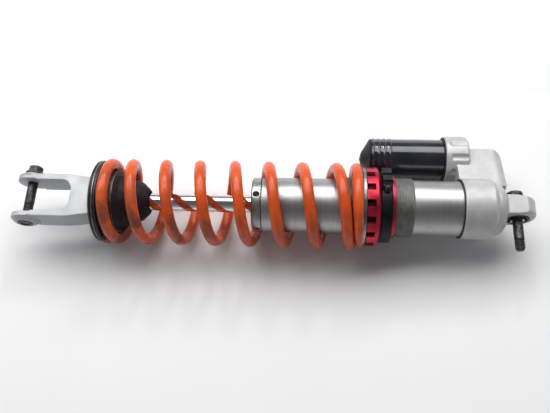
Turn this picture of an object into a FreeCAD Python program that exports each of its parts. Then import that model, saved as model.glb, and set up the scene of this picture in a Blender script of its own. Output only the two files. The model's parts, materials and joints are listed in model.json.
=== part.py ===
"""Coil-over rear shock with a piggyback reservoir, as a parametric document.

+X runs along the damper from the clevis to the upper eye, +Y along the mounting bolts towards
their heads, +Z up. The origin is the centre of the upper eye. Sizes are millimetres and degrees.
The shock is at full extension, lying on its spring and on the reservoir's cap.
"""
import FreeCAD, Part
import os
import re
import Sketcher

doc = FreeCAD.newDocument("RearShock")

SIZES = {
    # Upper eye: the lug on the head casting, its spherical bearing and its bolt
    "eye_radius": 18.4, "eye_flat": 17, "eye_half_width": 10.3, "eye_round": 4.2,
    "race_radius": 10.5, "race_half_width": 4.8, "ball_radius": 9, "ball_half_width": 6.5,
    "seal_radius": 11.1, "seal_bore": 9, "seal_depth": 2.5, "circlip_thick": 1.2,
    "circlip_width": 1.3, "spacer_radius": 7, "spacer_end": 11.8,
    "bolt_radius": 5, "fit_gap": 0.05, "press_gap": 0.02, "slide_gap": 0.03, "edge_break": 0.8,
    "eye_head_radius": 8, "eye_head_end": 19, "eye_bolt_tip": 43, "eye_thread_start": 32,
    "eye_thread_rings": 6, "thread_major": 4.95, "thread_root": 4.5, "bolt_pitch": 1.5,
    "relief_width": 1.2, "relief_depth": 0.3,
    "eye_socket_flats": 6, "eye_socket_depth": 3.5,
    # Head casting
    "head_left": -57, "head_radius": 30.8, "head_shoulder": 29.5, "head_step": 32.5,
    "head_dome_radius": 26.8, "head_length": 43.5, "head_round": 10, "oil_cavity_length": 10,
    "bridge_left": -56, "bridge_length": 50, "bridge_start": 18, "bridge_reach": 70.5,
    "bridge_thick": 31,
    "bridge_round": 12, "oil_port_radius": 4, "gas_port_radius": 3,
    # Reservoir, beside the damper
    "reservoir_distance": 66.7, "reservoir_tilt": 16.46, "reservoir_radius": 22,
    "reservoir_bore": 19.5, "reservoir_left": -144, "reservoir_length": 97,
    "ridge_first": 1.7, "ridge_pitch": 6, "ridge_count": 4, "ridge_round": 1,
    "end_cap_length": 11.2, "end_cap_nose": 6.2, "end_cap_cone": 9.5, "end_cap_round": 2,
    "end_cap_plug": 8, "stem_radius": 3, "foot_radius": 4.2,
    "cap_left": -67, "cap_radius": 25.6, "cap_length": 24.5, "cap_collar": 5.5, "cap_round": 3,
    "flute_count": 10, "flute_radius": 5, "flute_depth": 1.5,
    "separator_left": -78, "separator_length": 14, "separator_groove": 5,
    "separator_groove_width": 4, "separator_gap": 0.3,
    # Compression valve, in the bridge behind the reservoir
    "valve_centre": -22, "valve_bore": 11, "valve_start": 35.5, "valve_seat": 8.6,
    "valve_throat": 5, "valve_floor": 9, "disc_bore": 1.6, "disc_thick": 4, "screw_radius": 3,
    "high_flats": 14, "high_start": 17, "low_length": 12.6, "needle_shank": 1.5,
    # Damper tube, gland nut and seal head
    "tube_left": -257.2, "tube_right": -36, "tube_radius": 28, "tube_bore": 25,
    "gland_bore": 26, "gland_depth": 10, "band_left": -172, "band_right": -105.6,
    "band_radius": 30, "band_chamfer": 1.2, "band_pitch": 1.5, "band_depth": 0.8,
    "gland_length": 10.3, "gland_radius": 27.5, "pin_hole_radius": 2.9, "pin_hole_depth": 7,
    "seal_head_length": 25, "seal_pocket": 14, "seal_pocket_depth": 6, "bush_radius": 10.6,
    "oring_left": 12, "oring_right": 15, "oring_depth": 2.2, "wiper_length": 6,
    "joint_ring": 0.9,
    # Piston rod and what is on it
    "rod_radius": 9, "rod_left": -441, "rod_shoulder": -214, "rod_right": -179,
    "stud_radius": 6, "rod_bore": 2.6, "needle_radius": 2.5, "orifice_radius": 1.2,
    "piston_left": -209, "piston_length": 16, "piston_radius": 24.7, "band_groove": 1.5,
    "port_circle": 15.5, "port_radius": 2.6,
    "bumper_radius": 13, "bumper_length": 6.5, "piston_nut_flats": 17, "piston_nut_length": 8,
    # Spring, its seats and the preload collar
    "spring_left": -421, "spring_right": -156.5, "wire_radius": 5.75, "coil_radius": 38.75,
    "dead_turns": 0.85, "active_turns": 7.3, "spring_gap": 0.15, "spring_start": 180,
    "seat_radius": 42, "seat_band": 4.7, "seat_edge": 0.9, "seat_guide": 2.4,
    "washer_length": 3.5, "washer_radius": 40.8, "thread_bore": 30.06,
    "collar_gap": 0.1, "collar_flange": 11.2, "collar_radius": 40.5, "collar_length": 28.7,
    "collar_cone": 14, "collar_cone_radius": 36.4, "hub_radius": 32.5,
    "notch_count": 15, "notch_length": 8.4, "notch_width": 6, "notch_depth": 3.6,
    "notch_phase": 10.5,
    "clamp_left": -138.9, "clamp_length": 11.2, "clamp_radius": 36.4, "clamp_slot": 3.4,
    "clamp_angle": 55, "ear_inset": 1.4, "ear_radius": 39.6, "ear_width": 24,
    "clamp_screw_radius": 1.6, "screw_rise": 34.3, "screw_head_radius": 3,
    "screw_head_length": 3, "boss_reach": 18.5, "boss_height": 37.2,
    # Bump stop
    "cup_radius": 32, "cup_length": 14.5, "cup_wall": 0.8, "bump_length": 44.8,
    "bump_bore": 9.6, "bump_nose": 12.4, "bump_belly": 26, "bump_body": 24.5,
    "bump_waist": 21, "bump_tip": 21.5,
    # Clevis and its bolt
    "clevis_bolt_x": -504.7, "clevis_tip": 15, "clevis_half_width": 24.2,
    "clevis_gap": 17, "clevis_throat": 47.7, "throat_round": 11, "clevis_arm_end": 42,
    "arm_round": 40, "clevis_neck": 75.7, "neck_half_width": 19.5,
    "clevis_half_height": 14.3, "neck_half_height": 15.5, "clevis_chamfer": 1,
    "spotface_radius": 16.5, "spotface_depth": 1.1, "insert_radius": 7.75, "insert_end": 27.5,
    "boss_foot": 15.5, "boss_face": 10.2, "boss_seat": 27, "flange_radius": 9.9,
    "flange_thick": 3.8, "hex_flats": 14, "hex_height": 6.2,
    "dish_radius": 4.5, "slit_width": 1.4,
    "rebound_x": 57.7, "rebound_radius": 3.5, "rebound_head_radius": 5.5, "rebound_head": 3.2,
}

sheet = doc.addObject("Spreadsheet::Sheet", "Sizes")
for row, (alias, size) in enumerate(SIZES.items(), start=1):
    sheet.set("A%d" % row, alias)
    sheet.set("B%d" % row, str(size))
    sheet.setAlias("B%d" % row, alias)
doc.recompute()

# Radii of the thin discs in each shim pack, in order along +X
COMPRESSION_SHIMS = (12, 15, 18, 21, 23.5)
REBOUND_SHIMS = (23, 20, 17, 14, 11)

nodes = []
ALONG_X = FreeCAD.Rotation(FreeCAD.Vector(0, 1, 0), 90)
TILT = FreeCAD.Rotation(FreeCAD.Vector(1, 0, 0), -SIZES["reservoir_tilt"])
TO_BRIDGE = TILT * FreeCAD.Rotation(FreeCAD.Vector(0, 0, 1), 90)
TO_TIP = FreeCAD.Rotation(FreeCAD.Vector(0, 0, 1), -90)
TO_HEAD = FreeCAD.Rotation(FreeCAD.Vector(0, 0, 1), 90)
FROM_BELOW = FreeCAD.Rotation(FreeCAD.Vector(0, 1, 0), -90)
RESERVOIR_Y = "reservoir_distance * cos(reservoir_tilt * 1deg)"
RESERVOIR_Z = "-reservoir_distance * sin(reservoir_tilt * 1deg)"


def formula(text):
    """The text with each of its words that names a cell pointed at the sheet."""
    return re.sub(r"[a-z]+_\w+", lambda word: "Sizes." + word.group(), text)


def value(text):
    """The number that a formula gives."""
    result = sheet.evalExpression(formula(text))
    return float(getattr(result, "Value", result))


def bind(obj, prop, text):
    obj.setExpression(prop, formula(text))


def place(obj, x="0", y="0", z="0", turn=FreeCAD.Rotation()):
    """Put an object at a point given by formulas, turned by a fixed rotation."""
    obj.Placement = FreeCAD.Placement(FreeCAD.Vector(value(x), value(y), value(z)), turn)
    for axis, text in (("x", x), ("y", y), ("z", z)):
        bind(obj, "Placement.Base." + axis, text)
    return obj


def node(obj, label):
    """Name an object as one of the shock's pieces."""
    obj.Label = label
    nodes.append(obj)
    return obj


def origin_plane(body, role):
    return next(item for item in body.Origin.OriginFeatures if item.Role == role)


def dimension(sketch, number, end, corner):
    """Dimension one end of a line from the sketch's origin, as (across, up) formulas."""
    for kind, axis, text in (("DistanceX", -2, corner[0]), ("DistanceY", -1, corner[1])):
        size = value(text)
        if abs(size) < 1e-9:
            sketch.addConstraint(Sketcher.Constraint("PointOnObject", number, end, axis))
            continue
        index = sketch.addConstraint(
            Sketcher.Constraint(kind, -1, 1, number, end, size))
        name = "%s_%d" % (kind, number)
        sketch.renameConstraint(index, name)
        bind(sketch, "Constraints." + name, text)


def outline_sketch(body, name, corners, role, offset="0"):
    """A closed outline of straight lines on one of the body's own planes."""
    sketch = body.newObject("Sketcher::SketchObject", name)
    sketch.AttachmentSupport = [(origin_plane(body, role), "")]
    sketch.MapMode = "FlatFace"
    bind(sketch, "AttachmentOffset.Base.z", offset)
    points = [FreeCAD.Vector(value(corner[0]), value(corner[1]), 0) for corner in corners]
    for number, start in enumerate(points):
        sketch.addGeometry(Part.LineSegment(start, points[(number + 1) % len(points)]))
    for number in range(len(points)):
        follower = (number + 1) % len(points)
        sketch.addConstraint(Sketcher.Constraint("Coincident", number, 2, follower, 1))
    for number, corner in enumerate(corners):
        dimension(sketch, number, 1, corner)
    return sketch


def round_edges(body, feature, rounds):
    """Round the circular edges at each (axial, radius, size)."""
    doc.recompute()
    for count, (axial, radius, size) in enumerate(rounds):
        picked = []
        for index, edge in enumerate(feature.Shape.Edges, start=1):
            curve = edge.Curve
            if not isinstance(curve, Part.Circle):
                continue
            if abs(curve.Radius - value(radius)) + abs(curve.Center.x - value(axial)) < 1e-4:
                picked.append("Edge%d" % index)
        rounding = body.newObject("PartDesign::Fillet", "%s_round_%d" % (body.Name, count))
        rounding.Base = (feature, picked)
        bind(rounding, "Radius", size)
        feature = rounding
        doc.recompute()
    return feature


def revolved(name, corners, **where):
    """A body turned about its own X axis from (axial, radius) corners.

    A corner's third formula, where it has one, is the radius that rounds its edge.
    """
    body = doc.addObject("PartDesign::Body", name)
    sketch = outline_sketch(body, name + "_outline", corners, "XY_Plane")
    turn = body.newObject("PartDesign::Revolution", name + "_turn")
    turn.Profile = sketch
    turn.ReferenceAxis = (sketch, ["H_Axis"])
    turn.Angle = 360
    rounds = [corner for corner in corners if len(corner) == 3]
    if rounds:
        round_edges(body, turn, rounds)
    return place(body, **where)


def ring(name, inner, outer, length, **where):
    """A plain ring or sleeve, from its left face along its own X axis."""
    corners = [("0", inner), (length, inner), (length, outer), ("0", outer)]
    return revolved(name, corners, **where)


def extruded(name, corners, depth, role="XY_Plane", **where):
    """A body with an outline drawn on one of its planes, and half its depth each side."""
    body = doc.addObject("PartDesign::Body", name)
    sketch = outline_sketch(body, name + "_outline", corners, role)
    pad = body.newObject("PartDesign::Pad", name + "_pad")
    pad.Profile = sketch
    pad.Midplane = True
    bind(pad, "Length", depth)
    return place(body, **where)


def box(name, length, width, height, **where):
    """A box bound to three formulas, from its own low corner."""
    solid = doc.addObject("Part::Box", name)
    for prop, text in (("Length", length), ("Width", width), ("Height", height)):
        bind(solid, prop, text)
    return place(solid, **where)


def cylinder(name, radius, height, **where):
    """A cylinder along its own Z axis."""
    solid = doc.addObject("Part::Cylinder", name)
    bind(solid, "Radius", radius)
    bind(solid, "Height", height)
    return place(solid, **where)


def hexagon(name, flats, height, **where):
    """A hexagonal prism along its own Z axis, sized across its flats."""
    solid = doc.addObject("Part::Prism", name)
    solid.Polygon = 6
    bind(solid, "Circumradius", "(%s) / (2 * cos(30deg))" % flats)
    bind(solid, "Height", height)
    return place(solid, **where)


def fuse(name, *pieces):
    joined = doc.addObject("Part::MultiFuse", name)
    joined.Shapes = list(pieces)
    joined.Refine = True
    return joined


def cut(name, base, *tools):
    """Cut each tool from the base in turn."""
    for number, tool in enumerate(tools, start=1):
        left = doc.addObject("Part::Cut", name if tool is tools[-1] else name + "_%d" % number)
        left.Base = base
        left.Tool = tool
        left.Refine = True
        base = left
    return base


def common(name, *pieces):
    shared = doc.addObject("Part::MultiCommon", name)
    shared.Shapes = list(pieces)
    return shared


def fillet_box(name, solid, edges, size):
    """Round the numbered edges of a box."""
    rounded = doc.addObject("Part::Fillet", name)
    rounded.Base = solid
    rounded.Edges = [(edge, value(size), value(size)) for edge in edges]
    return rounded


def polar(body, feature, count):
    """Repeat a feature about the body's own X axis."""
    axis = next(item for item in body.Origin.OriginFeatures if item.Role == "X_Axis")
    pattern = body.newObject("PartDesign::PolarPattern", body.Name + "_pattern")
    pattern.Originals = [feature]
    pattern.Axis = (axis, [""])
    pattern.Angle = 360
    bind(pattern, "Occurrences", count)
    body.Tip = pattern
    return pattern


def groove_rings(body, first, pitch, count, depth, radius, width):
    """Cut evenly spaced V grooves round a turned body."""
    corners = [("%s - %s / 2" % (first, width), "%s + 0.2" % radius),
               (first, "%s - %s" % (radius, depth)),
               ("%s + %s / 2" % (first, width), "%s + 0.2" % radius)]
    sketch = outline_sketch(body, body.Name + "_groove_outline", corners, "XY_Plane")
    groove = body.newObject("PartDesign::Groove", body.Name + "_groove")
    groove.Profile = sketch
    groove.ReferenceAxis = (sketch, ["H_Axis"])
    groove.Angle = 360
    axis = next(item for item in body.Origin.OriginFeatures if item.Role == "X_Axis")
    pattern = body.newObject("PartDesign::LinearPattern", body.Name + "_pattern")
    pattern.Originals = [groove]
    pattern.Direction = (axis, [""])
    bind(pattern, "Occurrences", count)
    bind(pattern, "Length", "%s * (%s - 1)" % (pitch, count))
    body.Tip = pattern
    return body


# ---------------------------------------------------------------- head casting
def head_casting():
    shell = revolved("head_shell", [
        ("0", "0"), ("0", "head_radius - edge_break"), ("edge_break", "head_radius"),
        ("head_shoulder", "head_radius"), ("head_step", "head_dome_radius + edge_break"),
        ("head_step + edge_break", "head_dome_radius"),
        ("head_length", "head_dome_radius", "head_round"), ("head_length", "0"),
    ], x="head_left")
    eye_rise = "sqrt(eye_radius^2 - eye_flat^2)"
    lug_plain = extruded("eye_block", [
        ("-eye_radius - 2", "-eye_flat"), (eye_rise, "-eye_flat"), ("eye_radius + 1", "-eye_flat"),
        ("eye_radius + 1", "eye_flat"), (eye_rise, "eye_flat"), ("-eye_radius - 2", "eye_flat"),
    ], "2 * eye_half_width", role="XZ_Plane")
    lug_round = revolved("eye_barrel", [
        ("0", "0"), ("0", "eye_radius", "eye_round"),
        ("2 * eye_half_width", "eye_radius", "eye_round"), ("2 * eye_half_width", "0"),
    ], y="-eye_half_width", turn=TO_HEAD)
    lug_stem = box("eye_stem", "eye_radius + 2", "2 * eye_half_width", "2 * eye_flat",
                   x="-eye_radius - 2", y="-eye_half_width", z="-eye_flat")
    lug = common("eye_lug", lug_plain, fuse("eye_outline", lug_round, lug_stem))
    across = "(%s) * cos(reservoir_tilt * 1deg)"
    down = "-(%s) * sin(reservoir_tilt * 1deg)"
    bridge_block = box("bridge_block", "bridge_length", "bridge_reach - bridge_start",
                       "bridge_thick", x="bridge_left",
                       y=across % "bridge_start" + " + " + down % "bridge_thick / 2",
                       z=down % "bridge_start" + " - " + across % "bridge_thick / 2", turn=TILT)
    doc.recompute()
    bridge = fillet_box("bridge", bridge_block, bridge_edges(bridge_block), "bridge_round")
    cap = reservoir_cap()
    casting = fuse("head_casting", shell, lug, bridge, cap)
    socket = cylinder("tube_socket", "tube_radius + press_gap", "tube_right - head_left + 1",
                      x="head_left - 1", turn=ALONG_X)
    cavity = cylinder("oil_cavity", "tube_bore", "oil_cavity_length", x="tube_right - 0.5",
                      turn=ALONG_X)
    reservoir_socket = cylinder("reservoir_socket", "reservoir_radius + press_gap",
                                "reservoir_left + reservoir_length - cap_left + 1",
                                x="cap_left - 1", y=RESERVOIR_Y, z=RESERVOIR_Z, turn=ALONG_X)
    reservoir_cavity = cylinder("reservoir_cavity", "reservoir_bore", "2.5",
                                x="reservoir_left + reservoir_length - 0.5",
                                y=RESERVOIR_Y, z=RESERVOIR_Z, turn=ALONG_X)
    valve_hole = cylinder("valve_hole", "valve_bore + press_gap", "bridge_reach",
                          x="valve_centre", y=across % "valve_start", z=down % "valve_start",
                          turn=TO_BRIDGE * ALONG_X)
    oil_port = cylinder("oil_port", "oil_port_radius", "valve_start - 15", x="valve_centre",
                        y=across % "tube_bore - 5", z=down % "tube_bore - 5",
                        turn=TO_BRIDGE * ALONG_X)
    reservoir_port = cylinder("reservoir_port", "gas_port_radius", "18",
                              x="reservoir_left + reservoir_length",
                              y=across % "valve_start + 20", z=down % "valve_start + 20",
                              turn=ALONG_X)
    eye_bore = cylinder("eye_bore", "race_radius + press_gap", "4 * eye_half_width",
                        y="-2 * eye_half_width", turn=TO_HEAD * ALONG_X)
    seal_near, seal_far = (
        cylinder("seal_seat_%d" % number, "seal_radius + press_gap", "seal_depth + 1", y=start,
                 turn=TO_HEAD * ALONG_X)
        for number, start in enumerate(("-eye_half_width - 1", "eye_half_width - seal_depth")))
    node(cut("shock_head", casting, socket, cavity, reservoir_socket, reservoir_cavity,
             valve_hole, oil_port, reservoir_port, eye_bore, seal_near, seal_far), "shock_head")


def bridge_edges(block):
    """The numbers of the four edges round the bridge's right face, towards the eye."""
    inverse = block.Placement.inverse()
    return [number for number, edge in enumerate(block.Shape.Edges, start=1)
            if inverse.multVec(edge.CenterOfMass).x > value("bridge_length") - 1e-6]


def reservoir_cap():
    """The fluted cap of the casting, which the reservoir tube screws into."""
    body = revolved("reservoir_cap", [
        ("0", "0"), ("0", "cap_radius - edge_break"), ("edge_break", "cap_radius"),
        ("cap_length", "cap_radius", "cap_round"), ("cap_length", "0"),
    ], x="cap_left", y=RESERVOIR_Y, z=RESERVOIR_Z)
    sketch = body.newObject("Sketcher::SketchObject", "flute_outline")
    sketch.AttachmentSupport = [(origin_plane(body, "YZ_Plane"), "")]
    sketch.MapMode = "FlatFace"
    bind(sketch, "AttachmentOffset.Base.z", "cap_collar")
    centre = value("cap_radius + flute_radius - flute_depth")
    sketch.addGeometry(Part.Circle(FreeCAD.Vector(centre, 0, 0), FreeCAD.Vector(0, 0, 1),
                                   value("flute_radius")))
    sketch.addConstraint(Sketcher.Constraint("PointOnObject", 0, 3, -1))
    out = sketch.addConstraint(Sketcher.Constraint("DistanceX", -1, 1, 0, 3, centre))
    sketch.renameConstraint(out, "flute_centre")
    bind(sketch, "Constraints.flute_centre", "cap_radius + flute_radius - flute_depth")
    size = sketch.addConstraint(Sketcher.Constraint("Radius", 0, value("flute_radius")))
    sketch.renameConstraint(size, "flute_size")
    bind(sketch, "Constraints.flute_size", "flute_radius")
    flute = body.newObject("PartDesign::Pocket", "flute")
    flute.Profile = sketch
    flute.Reversed = True
    bind(flute, "Length", "cap_length")
    polar(body, flute, "flute_count")
    return body


# ---------------------------------------------------------------- upper eye
def upper_eye():
    node(cut("eye_race",
             ring("race_ring", "ball_radius * 0.75", "race_radius", "2 * race_half_width",
                  y="-race_half_width", turn=TO_HEAD),
             sphere("race_hollow", "ball_radius + fit_gap")), "eye_bearing_race")
    ball = common("ball_band", sphere("ball_sphere", "ball_radius"),
                  cylinder("ball_sides", "ball_radius", "2 * ball_half_width",
                           y="-ball_half_width", turn=TO_HEAD * ALONG_X))
    node(cut("eye_ball", ball,
             cylinder("ball_bore", "bolt_radius + fit_gap", "4 * ball_half_width",
                      y="-2 * ball_half_width", turn=TO_HEAD * ALONG_X)), "eye_ball")
    seals = [ring("eye_seal_%d" % number, "seal_bore", "seal_radius", "seal_depth", y=start,
                  turn=TO_HEAD)
             for number, start in enumerate(("-eye_half_width", "eye_half_width - seal_depth"))]
    node(fuse("eye_seals", *seals), "eye_seals")
    clips = [ring("eye_circlip_%d" % number, "race_radius - circlip_width", "race_radius",
                  "circlip_thick", y=start, turn=TO_HEAD)
             for number, start in enumerate(("-race_half_width - circlip_thick - 0.1",
                                             "race_half_width + 0.1"))]
    node(fuse("eye_circlips", *clips), "eye_circlips")
    spacers = [ring("eye_spacer_%d" % number, "bolt_radius + fit_gap", "spacer_radius",
                    "spacer_end - ball_half_width", y=start, turn=TO_HEAD)
               for number, start in enumerate(("-spacer_end", "ball_half_width"))]
    node(fuse("eye_spacers", *spacers), "eye_spacers")
    bolt = revolved("eye_bolt_turned", [
        ("0", "0"), ("0", "eye_head_radius", "2"),
        ("eye_head_end - spacer_end", "eye_head_radius"),
        ("eye_head_end - spacer_end", "bolt_radius"),
        ("eye_head_end + spacer_end - relief_width / 2", "bolt_radius"),
        ("eye_head_end + spacer_end - relief_width / 2", "bolt_radius - relief_depth"),
        ("eye_head_end + spacer_end + relief_width / 2", "bolt_radius - relief_depth"),
        ("eye_head_end + spacer_end + relief_width / 2", "thread_major"),
        ("eye_head_end + eye_bolt_tip - bolt_pitch", "thread_major"),
        ("eye_head_end + eye_bolt_tip", "thread_major - bolt_pitch"),
        ("eye_head_end + eye_bolt_tip", "0"),
    ], y="eye_head_end", turn=TO_TIP)
    groove_rings(bolt, "eye_head_end + eye_thread_start + 1", "bolt_pitch", "eye_thread_rings",
                 "(thread_major - thread_root)", "thread_major", "bolt_pitch * 0.8")
    socket = hexagon("eye_bolt_socket", "eye_socket_flats", "eye_socket_depth + 1",
                     y="eye_head_end - eye_socket_depth", turn=TO_HEAD * ALONG_X)
    node(cut("eye_bolt", bolt, socket), "eye_bolt")


def sphere(name, radius):
    solid = doc.addObject("Part::Sphere", name)
    bind(solid, "Radius", radius)
    return solid


# ---------------------------------------------------------------- damper
def damper():
    length = "(tube_right - tube_left)"
    start = "(band_left - tube_left)"
    end = "(band_right - tube_left)"
    tube = revolved("tube_turned", [
        ("0", "gland_bore"), ("gland_depth", "gland_bore"), ("gland_depth", "tube_bore"),
        (length, "tube_bore"), (length, "tube_radius"), (end, "tube_radius"),
        (end, "band_radius - band_chamfer"), (end + " - band_chamfer", "band_radius"),
        (start + " + band_chamfer", "band_radius"), (start, "band_radius - band_chamfer"),
        (start, "tube_radius"), ("edge_break", "tube_radius"), ("0", "tube_radius - edge_break"),
    ], x="tube_left")
    groove_rings(tube, start + " + 2 * band_chamfer", "band_pitch",
                 "floor((band_right - band_left - 4 * band_chamfer) / band_pitch)",
                 "band_depth", "band_radius", "band_pitch * 0.8")
    node(tube, "damper_tube")
    nut = revolved("gland_turned", [
        ("0", "seal_pocket - 1"), ("0", "gland_radius - 1"), ("1", "gland_radius"),
        ("gland_length - 1", "gland_radius"), ("gland_length", "gland_radius - 1"),
        ("gland_length", "gland_bore - fit_gap"),
        ("gland_length + gland_depth - 0.2", "gland_bore - fit_gap"),
        ("gland_length + gland_depth - 0.2", "seal_pocket - 1"),
    ], x="tube_left - gland_length")
    holes = [cylinder("pin_hole_%d" % number, "pin_hole_radius", "gland_radius",
                      x="tube_left - gland_length / 2",
                      y="(gland_radius - pin_hole_depth) * sin(%d * 90deg)" % number,
                      z="(gland_radius - pin_hole_depth) * cos(%d * 90deg)" % number,
                      turn=FreeCAD.Rotation(FreeCAD.Vector(1, 0, 0), -90 * number))
             for number in range(4)]
    node(cut("gland_nut", nut, *holes), "gland_nut")
    node(ring("wiper", "rod_radius + slide_gap", "seal_pocket - 1 - press_gap", "wiper_length",
              x="tube_left - gland_length + 0.6"), "dust_wiper")
    seal_head_left = "(tube_left + gland_depth)"
    node(revolved("seal_head_turned", [
        ("0", "seal_pocket"), ("seal_pocket_depth", "seal_pocket"),
        ("seal_pocket_depth", "bush_radius"), ("seal_head_length", "bush_radius"),
        ("seal_head_length", "tube_bore - 1.5"),
        ("seal_head_length - 1.5", "tube_bore - slide_gap"),
        ("oring_right", "tube_bore - slide_gap"), ("oring_right", "tube_bore - oring_depth"),
        ("oring_left", "tube_bore - oring_depth"), ("oring_left", "tube_bore - slide_gap"),
        ("0", "tube_bore - slide_gap"),
    ], x=seal_head_left), "seal_head")
    node(ring("seal_head_ring", "tube_bore - oring_depth + press_gap", "tube_bore - fit_gap",
              "oring_right - oring_left - 0.4", x=seal_head_left + " + oring_left + 0.2"),
         "seal_head_oring")
    node(ring("seal", "rod_radius + slide_gap", "seal_pocket - press_gap",
              "seal_pocket_depth - 0.2", x=seal_head_left + " + 0.1"), "rod_seal")
    node(ring("bush", "rod_radius + slide_gap", "bush_radius - press_gap",
              "seal_head_length - seal_pocket_depth - 2",
              x=seal_head_left + " + seal_pocket_depth + 1"), "guide_bush")
    node(ring("head_joint_ring", "tube_radius + press_gap", "head_radius - 0.6", "joint_ring",
              x="head_left - joint_ring - press_gap"), "tube_seal")


def reservoir():
    where = {"y": RESERVOIR_Y, "z": RESERVOIR_Z}
    tube = ring("reservoir_sleeve", "reservoir_bore", "reservoir_radius", "reservoir_length",
                x="reservoir_left", **where)
    ridges = []
    for number in range(int(value("ridge_count"))):
        ridge = doc.addObject("Part::Torus", "ridge_%d" % number)
        bind(ridge, "Radius1", "reservoir_radius - 0.4 * ridge_round")
        bind(ridge, "Radius2", "ridge_round")
        place(ridge, x="reservoir_left + ridge_first + %d * ridge_pitch" % number,
              turn=ALONG_X, **where)
        ridges.append(ridge)
    node(fuse("reservoir_body", tube, *ridges), "reservoir_tube")
    node(revolved("end_cap_turned", [
        ("0", "stem_radius + press_gap"), ("0", "end_cap_nose", "end_cap_round"),
        ("end_cap_length - end_cap_cone", "end_cap_nose + 3"),
        ("end_cap_length - 1.5", "reservoir_radius", "1.5"),
        ("end_cap_length", "reservoir_radius"), ("end_cap_length", "reservoir_bore - press_gap"),
        ("end_cap_length + end_cap_plug", "reservoir_bore - press_gap"),
        ("end_cap_length + end_cap_plug", "14"),
        ("end_cap_length", "10"), ("end_cap_length", "stem_radius + press_gap"),
    ], x="reservoir_left - end_cap_length", **where), "reservoir_end_cap")
    node(revolved("valve_stem", [
        ("0", "0"), ("0", "stem_radius - 0.6"), ("edge_break", "stem_radius"),
        ("end_cap_length + 1.2", "stem_radius"), ("end_cap_length + 1.2", "foot_radius"),
        ("end_cap_length + 3.6", "foot_radius"), ("end_cap_length + 3.6", "0"),
    ], x="reservoir_left - end_cap_length - 1 + press_gap", **where), "gas_valve")
    side, root = "reservoir_bore - separator_gap", "reservoir_bore - 2"
    groove_end = "separator_groove + separator_groove_width"
    node(revolved("separator_turned", [
        ("0", "0"), ("0", side), ("separator_groove", side), ("separator_groove", root),
        (groove_end, root), (groove_end, side), ("separator_length", side),
        ("separator_length", "12"), ("separator_length - 8", "9"), ("separator_length - 8", "0"),
    ], x="separator_left", **where), "separator_piston")
    node(ring("separator_ring", root + " + press_gap", "reservoir_bore - fit_gap",
              "separator_groove_width - 0.2", x="separator_left + separator_groove + 0.1",
              **where), "separator_seal")
    node(ring("reservoir_joint_ring", "reservoir_radius + press_gap", "cap_radius - 1",
              "joint_ring", x="cap_left - joint_ring - press_gap", **where), "reservoir_seal")


# ---------------------------------------------------------------- compression adjusters
def compression_valve():
    where = {"x": "valve_centre", "turn": TO_BRIDGE}

    def along(distance):
        return {"y": "(%s) * cos(reservoir_tilt * 1deg)" % distance,
                "z": "-(%s) * sin(reservoir_tilt * 1deg)" % distance}

    length = "bridge_reach - valve_start - 3"
    node(revolved("valve_housing", [
        ("0", "valve_throat"), ("0", "valve_bore"), (length, "valve_bore"),
        (length, "valve_seat"), ("valve_floor", "valve_seat"), ("valve_floor", "valve_throat"),
    ], **along("valve_start"), **where), "compression_valve_body")
    node(ring("valve_disc", "disc_bore", "valve_seat - 0.2", "disc_thick",
              **along("valve_start + valve_floor + 0.2"), **where), "compression_valve_piston")
    node(ring("valve_shims", "disc_bore", "valve_seat - 1.6", "1.2",
              **along("valve_start + valve_floor + disc_thick + 0.3"), **where),
         "compression_valve_shims")
    nut = revolved("high_speed_turned", [
        ("0", "screw_radius"), ("0", "valve_seat - 0.1"), ("9.5", "valve_seat - 0.1"),
        ("9.5", "screw_radius"),
    ], **along("valve_start + high_start"), **where)
    flats = hexagon("high_speed_hex", "high_flats", "7", **along("valve_start + high_start + 9"),
                    x="valve_centre", turn=TO_BRIDGE * ALONG_X)
    bore = cylinder("high_speed_bore", "screw_radius + fit_gap", "30",
                    **along("valve_start + 10"), x="valve_centre", turn=TO_BRIDGE * ALONG_X)
    node(cut("high_speed_nut", fuse("high_speed_solid", nut, flats), bore),
         "high_speed_adjuster")
    screw = revolved("low_speed_turned", [
        ("0", "0"), ("0", "screw_radius"), ("low_length - 0.6", "screw_radius"),
        ("low_length", "screw_radius - 0.6"), ("low_length", "0"),
    ], **along("valve_start + high_start + 3.5"), **where)
    slot = box("low_speed_slot", "1", "2", "8", x="valve_centre - 0.5",
               **slot_corner("valve_start + high_start + 2 + low_length"), turn=TILT)
    node(cut("low_speed_screw", screw, slot), "low_speed_adjuster")
    node(revolved("needle_turned", [
        ("0", "0"), ("0", "0.3"), ("3", "needle_shank"), ("12.5", "needle_shank"),
        ("12.5", "0"),
    ], **along("valve_start + 6"), **where), "low_speed_needle")


def slot_corner(distance):
    """The low corner of an 8 mm long slot cutter centred on the valve's axis."""
    return {"y": "(%s) * cos(reservoir_tilt * 1deg) - 4 * sin(reservoir_tilt * 1deg)" % distance,
            "z": "-(%s) * sin(reservoir_tilt * 1deg) - 4 * cos(reservoir_tilt * 1deg)" % distance}


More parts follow.
